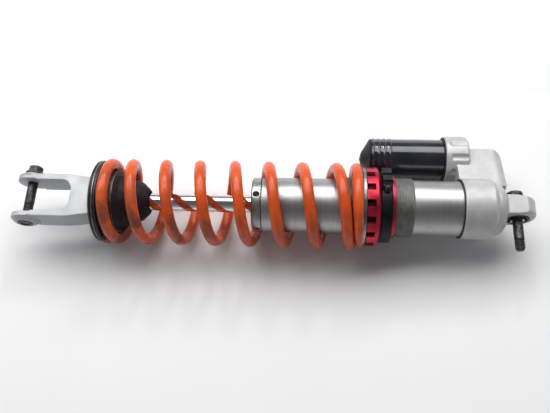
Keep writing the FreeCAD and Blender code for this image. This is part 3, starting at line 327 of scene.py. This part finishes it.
def spring_material():
    """Glossy powder coat over steel: painted shade and grime patches low on the coils, darker
    patches on the first coil, chips, bare ground ends.
    """
    n = Nodes("orange_coat", (0.65, 0.08, 0.018), 0.3, 0.0, Coat_Weight=0.12,
              Coat_Roughness=0.08, Specular_IOR_Level=0.3)
    tone = n.mix(n.ramp(n.noise(26, 4), 0.35, 0.65), (0.60, 0.075, 0.012), (0.70, 0.102, 0.020))
    y, x = n.axis("Y"), n.axis("X")
    # Painted shade: the low mask darkens the -Y side of the coils, which faces away from the key
    # light, more at the left end
    low = n.both(n.ramp(y, -0.036, 0.008, 1.0, 0.0), n.ramp(x, -0.35, -0.25, 1.0, 0.3))
    patch = n.ramp(n.noise(24, 3, roughness=0.5, distortion=0.3), 0.46, 0.6)
    first = n.both(n.ramp(x, -0.400, -0.384, 1.0, 0.0), n.ramp(y, 0.0, 0.036, 1.0, 0.0),
                   n.ramp(n.noise(20, 2), 0.40, 0.56))
    # Painted shade with grime patches on the low side, and darker patches on the first coil
    grime = n.both(n.math("MAXIMUM", n.both(patch, low), n.both(first, 0.75)), 0.8)
    tone = n.mix(grime, tone, (0.13, 0.050, 0.034))
    # Darker spots on the low side: stains and painted shade
    stain_and_shade = n.both(n.ramp(n.noise(10, 4), 0.56, 0.68), low, 0.6)
    tone = n.mix(stain_and_shade, tone, (0.10, 0.05, 0.04))
    chip = n.both(n.ramp(n.noise(2.4, 3, roughness=0.7), 0.70, 0.72),
                  n.ramp(n.noise(30, 2), 0.5, 0.56))
    tone = n.mix(chip, tone, (0.10, 0.06, 0.045))
    ground = n.node("ShaderNodeAttribute", attribute_name="ground").outputs["Fac"]
    tone = n.mix(ground, tone, (0.42, 0.41, 0.4))
    n.set("Base Color", tone)
    n.set("Metallic", n.both(ground, 0.9))
    shine = n.ramp(n.noise(8, 5), 0.3, 0.7, 0.22, 0.34)
    n.set("Roughness", n.math("ADD", shine, n.both(grime, 0.3)))
    peel = n.noise(1.4, 2)
    return n.bump((peel, 0.02), (chip, -0.05)).material


def foam_material():
    n = Nodes("foam", (0.020, 0.012, 0.017), 0.62, 0.0, Specular_IOR_Level=0.3)
    tone = n.mix(n.ramp(n.noise(7, 5), 0.35, 0.7), (0.009, 0.005, 0.009), (0.024, 0.013, 0.018))
    dust = n.both(n.ramp(n.noise(3, 5), 0.6, 0.75), 0.35)
    n.set("Base Color", n.mix(dust, tone, (0.06, 0.04, 0.04)))
    n.set("Roughness", n.ramp(n.noise(4, 4), 0.3, 0.7, 0.5, 0.75))
    return n.bump((n.noise(0.5, 3), 0.03), (n.noise(3, 3), 0.06)).material


def reservoir_material():
    """Glossy black paint with pale scuffs on its ridges and pale streaks along its length."""
    n = Nodes("black_gloss", (0.012, 0.014, 0.020), 0.16, 0.0, Coat_Weight=0.3,
              Coat_Roughness=0.06, IOR=1.6)
    tone = n.mix(n.ramp(n.noise(20, 4), 0.35, 0.65), (0.008, 0.009, 0.014),
                 (0.018, 0.020, 0.027))
    x = n.axis("X")
    ridges = n.ramp(x, -0.126, -0.119, 1.0, 0.0)
    scuff = n.both(n.ramp(n.noise(1.5, 5, roughness=0.7, distortion=0.4), 0.60, 0.68),
                   n.ramp(n.noise(9, 3), 0.52, 0.62), ridges)
    line = n.both(n.ramp(n.noise(1.2, 1, stretch=(0.04, 1, 1)), 0.74, 0.77),
                  n.ramp(n.noise(25, 2), 0.56, 0.66), 0.4)
    worn = n.math("MAXIMUM", scuff, line)
    n.set("Base Color", n.mix(worn, tone, (0.24, 0.25, 0.27)))
    n.set("Roughness", n.math("ADD", n.ramp(n.noise(12, 4), 0.3, 0.7, 0.12, 0.2),
                              n.both(worn, 0.35)))
    return n.bump((n.noise(2.5, 2), 0.012), (worn, -0.02)).material


def anodised(name, light, dark, roughness=0.3, wear=0.5, wear_colour=(0.6, 0.58, 0.56),
             shade_core=None):
    return metal(name, light, dark, roughness, metallic=0.85, blotch=9, grain=0.4,
                 grain_depth=0.006, grime=0.5, wear=wear, wear_colour=wear_colour, shade_core=shade_core)


def rubber(name, colour, roughness=0.6):
    n = Nodes(name, colour, roughness)
    pale = tuple(min(1.0, c * 2.2 + 0.01) for c in colour)
    n.set("Base Color", n.mix(n.ramp(n.noise(3, 5), 0.45, 0.75), colour, pale))
    n.set("Roughness", n.ramp(n.noise(2, 4), 0.3, 0.7, roughness * 0.85, roughness * 1.15))
    return n.bump((n.noise(0.4, 3), 0.015)).material


def materials():
    """One material for each slot of the record."""
    return {
        "cast_aluminium": metal("cast_aluminium", (0.53, 0.53, 0.525), (0.46, 0.46, 0.455), 0.45,
                                metallic=0.3, grain=0.5, grain_depth=0.02, grime=0.8),
        "machined_aluminium": metal("machined_aluminium", (0.42, 0.42, 0.415),
                                    (0.30, 0.30, 0.29), 0.32, rings=0.5, grime=0.7, wear=0.5,
                                    wear_colour=(0.8, 0.8, 0.8)),
        "forged_aluminium": metal("forged_aluminium", (0.50, 0.51, 0.52), (0.45, 0.46, 0.47),
                                  0.5, metallic=0.3, grain=0.35, grain_depth=0.02, blotch=30,
                                  grime=0.35, wear=0.3, wear_colour=(0.85, 0.85, 0.86)),
        "black_anodised": anodised("black_anodised", (0.020, 0.023, 0.027),
                                   (0.011, 0.013, 0.015), 0.42, 0.45, (0.30, 0.30, 0.31)),
        "orange_paint": spring_material(),
        "crimson_anodised": anodised("crimson_anodised", (0.56, 0.030, 0.060),
                                     (0.42, 0.020, 0.042), 0.34, 0.3, (0.62, 0.25, 0.27),
                                     # Painted shade on the floors of the collar's notches
                                     shade_core=((NOTCH_FLOOR + 0.5) * MM,
                                           (NOTCH_END - 0.1) * MM)),
        "adjuster_anodised": anodised("adjuster_anodised", (0.09, 0.09, 0.095),
                                      (0.05, 0.05, 0.055)),
        "chrome_steel": metal("chrome_steel", (0.78, 0.78, 0.79), (0.72, 0.72, 0.73), 0.08,
                              grain=2, grain_depth=0.001, blotch=30),
        "dark_steel": metal("dark_steel", (0.078, 0.074, 0.074), (0.026, 0.024, 0.025), 0.42,
                            metallic=0.8, grain=0.5, grain_depth=0.03, blotch=4, grime=0.6,
                            grime_colour=(0.05, 0.028, 0.02), wear=0.8,
                            wear_colour=(0.30, 0.29, 0.28)),
        "zinc_steel": metal("zinc_steel", (0.36, 0.355, 0.35), (0.20, 0.195, 0.19), 0.36,
                            blotch=6, grime=0.6, wear=0.6, wear_colour=(0.75, 0.75, 0.74)),
        "bearing_steel": metal("bearing_steel", (0.62, 0.62, 0.6), (0.5, 0.5, 0.49), 0.15),
        "black_rubber": rubber("black_rubber", (0.014, 0.013, 0.013)),
        "bump_foam": foam_material(),
        "black_plastic": rubber("black_plastic", (0.016, 0.016, 0.017), 0.42),
        "seal_plastic": rubber("seal_plastic", (0.035, 0.033, 0.03), 0.45),
    }


# ---------------------------------------------------------------- mesh helpers
def new_piece(name, verts, faces, edges=()):
    mesh = bpy.data.meshes.new(name)
    mesh.from_pydata([tuple(v) for v in verts], list(edges), faces)
    mesh.update()
    piece = bpy.data.objects.new(name, mesh)
    bpy.context.scene.collection.objects.link(piece)
    return piece


def fillet(points, steps=4):
    """An outline of (x, r) points, with an arc at each point that has a third number."""
    out = []
    for k, point in enumerate(points):
        corner = Vector(point[:2])
        if len(point) < 3:
            out.append(tuple(corner))
            continue
        before = Vector(points[k - 1][:2]) - corner
        after = Vector(points[(k + 1) % len(points)][:2]) - corner
        reach = min(point[2] / math.tan(before.angle(after) / 2),
                    0.49 * before.length, 0.49 * after.length)
        start, end = (corner + side.normalized() * reach for side in (before, after))
        for step in range(steps + 1):
            u = step / steps
            out.append(tuple((1 - u) ** 2 * start + 2 * u * (1 - u) * corner + u * u * end))
    return out


def turned(rows, steps=96, closed=False, angles=None):
    """A surface of revolution about X. A row is (x, r), each a number or one for each angle.

    The angles are evenly spaced where none are given.
    """
    if angles is None:
        angles = np.arange(steps) * TAU / steps
    steps = len(angles)
    x = np.array([np.broadcast_to(row[0], steps) for row in rows], float)
    r = np.array([np.broadcast_to(row[1], steps) for row in rows], float)
    verts = np.stack([x, r * np.cos(angles), r * np.sin(angles)], -1).reshape(-1, 3)
    count = len(rows)
    faces = []
    for i in range(count if closed else count - 1):
        j = (i + 1) % count
        for k in range(steps):
            m = (k + 1) % steps
            faces.append((i * steps + k, i * steps + m, j * steps + m, j * steps + k))
    return verts, faces


def threaded(start, end, pitch, crest, root, steps=96):
    """A helical thread between two plain rings of the root radius."""
    # One groove and crest, by its share of the pitch
    shape = ((0.0, root), (0.14, root), (0.5, crest), (0.66, crest))
    first, last = -1, math.ceil((end - start) / pitch)
    rows = [(turn + share, radius) for turn in range(first, last + 1) for share, radius in shape]
    verts = []
    for share, radius in rows:
        for k in range(steps + 1):
            x = start + (share + k / steps) * pitch
            inside = start < x < end
            run_out = min(1.0, max(0.0, min(x - start, end - x) / (pitch * 0.7)))
            angle = k * TAU / steps
            r = root + (radius - root) * run_out if inside else root
            verts.append((min(max(x, start), end), r * math.cos(angle), r * math.sin(angle)))
    width = steps + 1
    faces = [(i * width + k, i * width + k + 1, (i + 1) * width + k + 1, (i + 1) * width + k)
             for i in range(len(rows) - 1) for k in range(steps)]
    return np.array(verts), faces


def hexagon(flats, steps):
    """The radius of a hexagon at each angle."""
    angles = np.arange(steps) * TAU / steps
    return flats / 2 / np.cos((angles % (TAU / 6)) - TAU / 12)


def settle(mesh, sharp):
    """Join double points, drop empty faces, point the faces outwards and shade."""
    work = bmesh.new()
    work.from_mesh(mesh)
    bmesh.ops.remove_doubles(work, verts=work.verts, dist=2e-6)
    bmesh.ops.dissolve_degenerate(work, edges=work.edges, dist=1e-7)
    bmesh.ops.recalc_face_normals(work, faces=work.faces)
    for face in work.faces:
        face.smooth = True
    work.to_mesh(mesh)
    work.free()
    mesh.set_sharp_from_angle(angle=math.radians(sharp))


def solid(name, patches, turn=Matrix.Identity(4), origin=(0, 0, 0), sharp=32):
    """One piece from patches of (points, faces) about X, turned and then moved."""
    points, faces, start = [], [], 0
    for verts, quads in patches:
        points.append(verts)
        faces += [tuple(start + k for k in quad) for quad in quads]
        start += len(verts)
    place = Matrix.Translation(Vector(origin)) @ turn
    rows = [place @ Vector(point) * MM for point in np.concatenate(points)]
    piece = new_piece(name, rows, faces)
    settle(piece.data, sharp)
    return piece


def stands_for(piece, node):
    """The piece takes over a CAD node: its body, its slot and that slot's material."""
    piece.data.materials.append(MATERIALS[SLOT_OF[node]])
    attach(piece, BODY_OF[node])
    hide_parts(node)
    return piece


def softened(node, name, voxel, passes, keep):
    """The CAD node's shape with the rounded edges of a casting, forging or milled part.

    It is remeshed at voxel millimetres, smoothed, and thinned to a share of its faces.
    """
    source = NODES[node]
    piece = bpy.data.objects.new(name, source.data.copy())
    bpy.context.scene.collection.objects.link(piece)
    piece.data.materials.clear()
    weld = piece.modifiers.new("weld", "WELD")
    weld.merge_threshold = 1e-5
    remesh = piece.modifiers.new("remesh", "REMESH")
    remesh.mode, remesh.voxel_size = "VOXEL", voxel * MM
    smooth = piece.modifiers.new("smooth", "SMOOTH")
    smooth.factor, smooth.iterations = 0.5, passes
    thin = piece.modifiers.new("thin", "DECIMATE")
    thin.ratio = keep
    shape = piece.evaluated_get(bpy.context.evaluated_depsgraph_get())
    mesh = bpy.data.meshes.new_from_object(shape)
    piece.modifiers.clear()
    piece.data = mesh
    piece.data.name = name
    mesh.polygons.foreach_set("use_smooth", [True] * len(mesh.polygons))
    return stands_for(piece, node)


# ---------------------------------------------------------------- the pieces' frames
# The bolts are made along X with their heads at positive x, then turned to lie along Y
TO_HEADS = Matrix.Rotation(math.pi / 2, 4, "Z")
RESERVOIR_DISTANCE, RESERVOIR_TILT = 66.7, math.radians(16.46)
RESERVOIR = (0, RESERVOIR_DISTANCE * math.cos(RESERVOIR_TILT),
             -RESERVOIR_DISTANCE * math.sin(RESERVOIR_TILT))


# ---------------------------------------------------------------- damper
def damper():
    """The tube with its thread band, the gland nut and the rod."""
    steps, bore, gland_depth = 160, 25, 10
    before_band = fillet([
        (TUBE_LEFT, GLAND_BORE), (TUBE_LEFT, TUBE_RADIUS, 0.8), (BAND_LEFT, TUBE_RADIUS),
        (BAND_LEFT, BAND_ROOT)])
    after_band = fillet([
        (BAND_RIGHT, BAND_ROOT), (BAND_RIGHT, TUBE_RADIUS), (TUBE_RIGHT, TUBE_RADIUS),
        (TUBE_RIGHT, bore), (TUBE_LEFT + gland_depth, bore),
        (TUBE_LEFT + gland_depth, GLAND_BORE), (TUBE_LEFT, GLAND_BORE)])
    tube = solid("damper_tube_turned", [
        turned(before_band, steps),
        threaded(BAND_LEFT, BAND_RIGHT, FINE_PITCH, BAND_CREST, BAND_ROOT, steps),
        turned(after_band, steps)])
    stands_for(tube, "damper_tube").data.materials[0] = tube_material()
    softened("gland_nut", "gland_nut_milled", 0.5, 3, 0.5)
    rod = fillet([(-441, 0), (-441, 9, 0.5), (-214.6, 9), (-214, 8.4), (-214, 6),
                  (-179, 6, 0.5), (-179, 0)])
    stands_for(solid("rod_chromed", [turned(rod, 96)]), "piston_rod")


def reservoir():
    """The drawn tube with its round-topped ridges, and the end cap."""
    ridge_count, ridge_pitch, first_ridge, right = 4, 6, 1.7, -47
    ridge = ((-1.3, 0), (-0.95, 0.12), (-0.6, 0.42), (-0.25, 0.6), (0.25, 0.6), (0.6, 0.42),
             (0.95, 0.12), (1.3, 0))
    outline = [(RESERVOIR_LEFT, RESERVOIR_BORE), (RESERVOIR_LEFT, RESERVOIR_RADIUS - 0.1),
               (RESERVOIR_LEFT + 0.2, RESERVOIR_RADIUS)]
    for number in range(ridge_count):
        middle = RESERVOIR_LEFT + first_ridge + ridge_pitch * number
        outline += [(middle + dx, RESERVOIR_RADIUS + rise) for dx, rise in ridge]
    outline += [(right, RESERVOIR_RADIUS), (right, RESERVOIR_BORE)]
    tube = solid("reservoir_tube_drawn", [turned(outline, 128, True)], origin=RESERVOIR)
    stands_for(tube, "reservoir_tube").data.materials[0] = reservoir_material()
    cap = fillet([
        (-155.2, 3.02), (-155.2, 5.4, 1.2), (-154.2, 7.6, 1.6), (-150.8, 13.2, 4),
        (-146.2, 21.3, 2.2), (-144.6, 21.95, 0.6), (-144, 21.7), (-144, 19.48), (-136, 19.48),
        (-136, 14), (-144, 10), (-144, 3.02)], 5)
    stands_for(solid("reservoir_end_cap_turned", [turned(cap, 128, True)], origin=RESERVOIR),
               "reservoir_end_cap")


# ---------------------------------------------------------------- spring
def spring_rise(turns, tight):
    """How far the wire's centre is from its end plane, by turns from that end.

    The first working turns sit closer to the end by up to tight millimetres.
    """
    known = ((0, 0.3), (0.12, 3.7), (0.25, 5.5), (0.4, 5.75), (0.8, 5.95),
             (1, 12.1 - 0.3 * tight), (1.19, 17.8 - 0.6 * tight), (1.5, 28.4 - 0.9 * tight),
             (2, 45.7 - tight), (3, 80.3 - 0.8 * tight), (4, 114.9 - 0.5 * tight), (5, 149.5))
    return np.interp(turns, [k[0] for k in known], [k[1] for k in known])


def spring():
    """A round wire swept along a helix with closed, ground ends.

    The base mesh is the centreline alone. The modifier keeps the closed end turns as they are
    and shares the rest of the length among the working turns, at any length of the spring.
    """
    total, each = 9, 72
    turns = np.linspace(0, total, total * each + 1)
    left = spring_rise(turns, 3.2)
    right = SPRING_LENGTH - spring_rise(total - turns, 0)
    # The two ends' curves meet between the fourth turn and the fifth
    middle = np.clip(turns - 4, 0, 1)
    rise = left * (1 - middle) + right * middle
    # A moving average takes out the corners, with each end mirrored so that it stays in place
    blur = 14
    window = np.hanning(blur + 1)
    padded = np.concatenate([2 * rise[0] - rise[blur:0:-1], rise,
                             2 * rise[-1] - rise[-2:-2 - blur:-1]])
    rise = np.convolve(padded, window / window.sum(), "same")[blur:-blur]
    angles = turns * TAU
    points = np.stack([SPRING_LEFT + rise, -COIL_RADIUS * np.cos(angles),
                       -COIL_RADIUS * np.sin(angles)], -1)
    edges = [(k, k + 1) for k in range(len(points) - 1)]
    piece = new_piece("coil_spring", points * MM, [], edges)
    first, last = each, (total - 1) * each
    closed = np.minimum(rise, rise[first]) - rise[0] + np.maximum(rise, rise[last]) - rise[last]
    share = np.clip((rise - rise[first]) / (rise[last] - rise[first]), 0, 1)
    for name, values in (("closed_rise", closed * MM), ("working_share", share)):
        attribute = piece.data.attributes.new(name, "FLOAT", "POINT")
        attribute.data.foreach_set("value", values.astype(np.float32))
    stands_for(piece, "spring")
    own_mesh(piece)
    sweep = piece.modifiers.new("sweep", "NODES")
    sweep.node_group = spring_sweep(closed[-1] * MM, rise[0] * MM)


def spring_sweep(closed_length, end_gap):
    """Spread the centreline over the spring's present length, sweep it and grind its ends."""
    tree = bpy.data.node_groups.new("spring_sweep", "GeometryNodeTree")
    tree.interface.new_socket("Geometry", in_out="INPUT", socket_type="NodeSocketGeometry")
    tree.interface.new_socket("Geometry", in_out="OUTPUT", socket_type="NodeSocketGeometry")

    def node(kind, inputs=(), **settings):
        return add_node(tree, kind, inputs, **settings)

    def calc(operation, *sources):
        return node("ShaderNodeMath", enumerate(sources), operation=operation).outputs[0]

    def named(name):
        return node("GeometryNodeInputNamedAttribute", {"Name": name},
                    data_type="FLOAT").outputs["Attribute"]

    def now():
        return node("ShaderNodeSeparateXYZ",
                    {0: node("GeometryNodeInputPosition").outputs[0]}).outputs

    def set_x(geometry, x):
        split = now()
        place = node("ShaderNodeCombineXYZ", {0: x, 1: split[1], 2: split[2]})
        return node("GeometryNodeSetPosition",
                    {"Geometry": geometry, "Position": place.outputs[0]}).outputs["Geometry"]

    entry, leave = node("NodeGroupInput"), node("NodeGroupOutput")
    line = entry.outputs[0]
    spread = node("GeometryNodeAttributeStatistic", {"Geometry": line}, data_type="FLOAT")
    tree.links.new(now()[0], spread.inputs["Attribute"])
    washer = node("GeometryNodeObjectInfo", {"Object": frame["bodies"]["preload_washer"]},
                  transform_space="RELATIVE")
    shift = node("ShaderNodeSeparateXYZ", {0: washer.outputs["Location"]}).outputs[0]
    low = spread.outputs["Min"]
    length = calc("ADD", spread.outputs["Range"], shift)
    working = calc("SUBTRACT", length, closed_length)
    x = calc("ADD", calc("ADD", low, named("closed_rise")),
             calc("MULTIPLY", named("working_share"), working))
    curve = node("GeometryNodeMeshToCurve", {"Mesh": set_x(line, x)}).outputs["Curve"]
    ring = node("GeometryNodeCurvePrimitiveCircle",
                {"Resolution": 24, "Radius": WIRE_RADIUS * MM})
    wire = node("GeometryNodeCurveToMesh", {
        "Curve": curve, "Profile Curve": ring.outputs["Curve"], "Fill Caps": True})
    start = calc("SUBTRACT", low, end_gap)
    end = calc("ADD", calc("ADD", low, length), end_gap)
    cut = calc("MAXIMUM", calc("LESS_THAN", now()[0], start),
               calc("GREATER_THAN", now()[0], end))
    marked = node("GeometryNodeStoreNamedAttribute", {
        "Geometry": wire.outputs["Mesh"], "Name": "ground", "Value": cut}, data_type="FLOAT",
        domain="POINT").outputs["Geometry"]
    flat = set_x(marked, calc("MINIMUM", calc("MAXIMUM", now()[0], start), end))
    smooth = node("GeometryNodeSetShadeSmooth", {"Geometry": flat}).outputs["Geometry"]
    coat = node("GeometryNodeSetMaterial", {
        "Geometry": smooth, "Material": MATERIALS["orange_paint"]}).outputs["Geometry"]
    tree.links.new(coat, leave.inputs[0])
    return tree


def seats():
    """The lower seat, its washer and guide, and the bump stop in its pressed cup."""
    washer_left, guide_left, foam_left = -424.3, -423.4, -420.2
    seat = fillet([
        (-429, SEAT_BORE), (-429, 39, 1.5), (-427.4, 41.6, 0.8), (-426.8, 42, 0.4),
        (-426.2, 42, 0.3), (-426, 41.2, 0.2), (-425.6, 41.2, 0.2), (-425.3, 42, 0.3),
        (washer_left, 42, 0.5), (washer_left, 41), (washer_left, SEAT_BORE)])
    washer = fillet([
        (washer_left, SEAT_BORE), (washer_left, 42.3, 0.3), (guide_left, 42.3, 0.3),
        (guide_left, SEAT_BORE)])
    guide = fillet([
        (guide_left, SEAT_BORE), (guide_left, 41, 0.5), (SPRING_LEFT, 41, 0.8),
        (SPRING_LEFT, SEAT_BORE)])
    for name, outline, node in (
            ("spring_seat_turned", seat, "spring_seat"),
            ("seat_washer_turned", washer, "seat_washer"),
            ("spring_guide_moulded", guide, "spring_guide")):
        stands_for(solid(name, [turned(outline, 160, True)]), node)
    cup = fillet([
        (SPRING_LEFT, SEAT_BORE), (SPRING_LEFT, 32, 2), (-408.0, 32), (-407.6, 32, 0.2),
        (-407.6, 31.2, 0.2), (foam_left, 31.2, 1.4), (foam_left, SEAT_BORE)])
    stands_for(solid("bump_stop_cup_pressed", [turned(cup, 128, True)]), "bump_stop_cup")
    foam = fillet([
        (foam_left, 9.6), (foam_left, 31.1, 1), (-408.0, 30.9, 2.5), (-402.8, 26, 3.5),
        (-396, 24.7, 3), (-394.6, 22.0, 1.6), (-392.2, 20.8, 1.8), (-389.4, 22.2, 2.4),
        (-383, 20.0, 6), (-375.6, 12.9, 1.6), (-375.6, 11.2, 0.6), (-379.9, 9.6)], 6)
    bump = stands_for(solid("bump_stop_moulded", [turned(foam, 96, True)], sharp=50),
                      "bump_stop")
    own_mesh(bump)


def collar():
    """The notched preload collar, its clamp ring and the thrust washer beside it."""
    count, width, phase, rim, bore = 15, 6.0, math.radians(10.5), 40.5, 30.06
    pitch = TAU / count
    # Half a notch, as an angle at the middle of its depth
    half = width / 2 / 39
    marks = []
    for number in range(count):
        middle = phase + pitch * number
        for offset in (-pitch / 2, -pitch / 4, -half - 0.014, -half, -half + 0.006, -half * 0.4,
                       half * 0.4, half - 0.006, half, half + 0.014, pitch / 4):
            marks.append((middle + offset, abs(offset)))
    angles, away = (np.array(column) for column in zip(*marks))
    # Share of the notch's depth at each angle: 0 outside, 1 inside, part way on its rounded lip
    depth = np.clip((half + 0.012 - away) / 0.014, 0, 1)
    outline = fillet([
        (-152.9, bore), (-152.9, NOTCH_FLOOR), (-152.9, rim, 0.9), (-145.2, rim),
        (-144.8, rim), (-144.5, rim), (-144.2, rim), (-141.7, rim, 1.2), (-138.9, 36.4, 0.8),
        (-138.9, 32.5), (-124.2, 32.5, 0.8), (-124.2, bore, 0.5)])
    rows = []
    for x, r in outline:
        share = depth * np.clip((NOTCH_END - 0.05 - x) / 0.25, 0, 1)
        rows.append((x, r * (1 - share) + min(r, NOTCH_FLOOR) * share))
    stands_for(solid("preload_collar_milled", [turned(rows, closed=True, angles=angles)],
                     sharp=30), "preload_collar")
    softened("clamp_ring", "clamp_ring_milled", 0.5, 3, 0.6)
    washer = fillet([(-156.5, 30.4), (-156.5, 40.1, 0.8), (-153, 40.1, 0.8), (-153, 30.4)])
    stands_for(solid("thrust_washer_turned", [turned(washer, 160, True)]), "thrust_washer")


# ---------------------------------------------------------------- bolts
def eye_lips():
    """The rubber seals on both sides of the eye's bearing, each with a lip proud of the lug."""
    lip = fillet([(8.0, 9), (8.0, 11.05), (10.35, 11.05), (10.4, 11.7, 0.2), (10.9, 11.6, 0.3),
                  (11.2, 10.6, 0.3), (10.8, 8.8, 0.3), (9.8, 8.8)])
    far = [(-x, r) for x, r in reversed(lip)]
    stands_for(solid("eye_seals_moulded", [turned(lip, 96, True), turned(far, 96, True)],
                     turn=TO_HEADS), "eye_seals")


def bolts():
    """The eye bolt with its spacer and head, and the clevis bolt with its threaded insert."""
    steps = 72
    socket, hexed = hexagon(6, steps), hexagon(14, steps)
    root, left, right = 4.3, -41.6, -32.2
    head = [(15.5, 0), (15.7, 2.6), (16.0, socket), (18.3, socket), (18.7, socket + 0.35)]
    head += fillet([(19, 4.4), (19, 8, 2.4), (11.8, 8, 0.4), (11.8, BOLT_RADIUS),
                    (-11.2, BOLT_RADIUS), (-11.4, 4.7), (-12.3, 4.7), (-12.45, 4.95),
                    (-31.6, 4.95), (right, root)])
    tail = fillet([(left, root), (-43, 3.4, 0.3), (-43, 0)])
    stands_for(solid("eye_bolt_threaded", [
        turned(head, steps), threaded(left, right, FINE_PITCH, 4.92, root, steps),
        turned(tail, steps)], turn=TO_HEADS), "eye_bolt")
    # The dished and chamfered head, then its flange, then the shank
    root, left, right, end = 4.5, -26.0, -6.4, -27.0
    crown = [(35.2, 0), (35.2, 2.8), (35.5, 3.9), (36.7, 4.3), (36.95, 4.9)]
    crown += [(36.95, np.minimum(hexed, 6.3)), (36.6, np.minimum(hexed, 6.9)),
              (35.9, np.minimum(hexed, 7.5)), (34.9, hexed), (31.3, hexed), (30.9, hexed)]
    crown += [(30.8, 8.4), (30.3, 9.2), (29.6, 9.7), (28.9, 9.9), (27.5, 9.9), (27.1, 9.7),
              (27.0, 9.3), (27.0, BOLT_RADIUS), (-6, BOLT_RADIUS), (right, root)]
    stem = fillet([(left, root), (end, 3.8, 0.3), (end, 0)])
    insert = fillet([(-27.5, 5.02), (-27.5, 7.6, 0.4), (-27.1, 7.75), (-18.1, 7.75, 0.3),
                     (-18.1, 5.02)])
    for name, patches, node in (
            ("clevis_bolt_forged",
             [turned(crown, steps), threaded(left, right, FINE_PITCH, 4.95, root, steps),
              turned(stem, steps)], "clevis_bolt"),
            ("clevis_insert_turned", [turned(insert, steps, True)], "clevis_thread_insert")):
        stands_for(solid(name, patches, turn=TO_HEADS, origin=(CLEVIS_BOLT_X, 0, 0)), node)


# ---------------------------------------------------------------- the model
camera()
MATERIALS = materials()
for node, piece in NODES.items():
    piece.data.materials.clear()
    piece.data.materials.append(MATERIALS[SLOT_OF[node]])
stage()
lights()
damper()
reservoir()
spring()
seats()
collar()
eye_lips()
bolts()
softened("shock_head", "shock_head_cast", 0.7, 4, 0.7)
softened("clevis", "clevis_forged", 0.6, 3, 0.7)
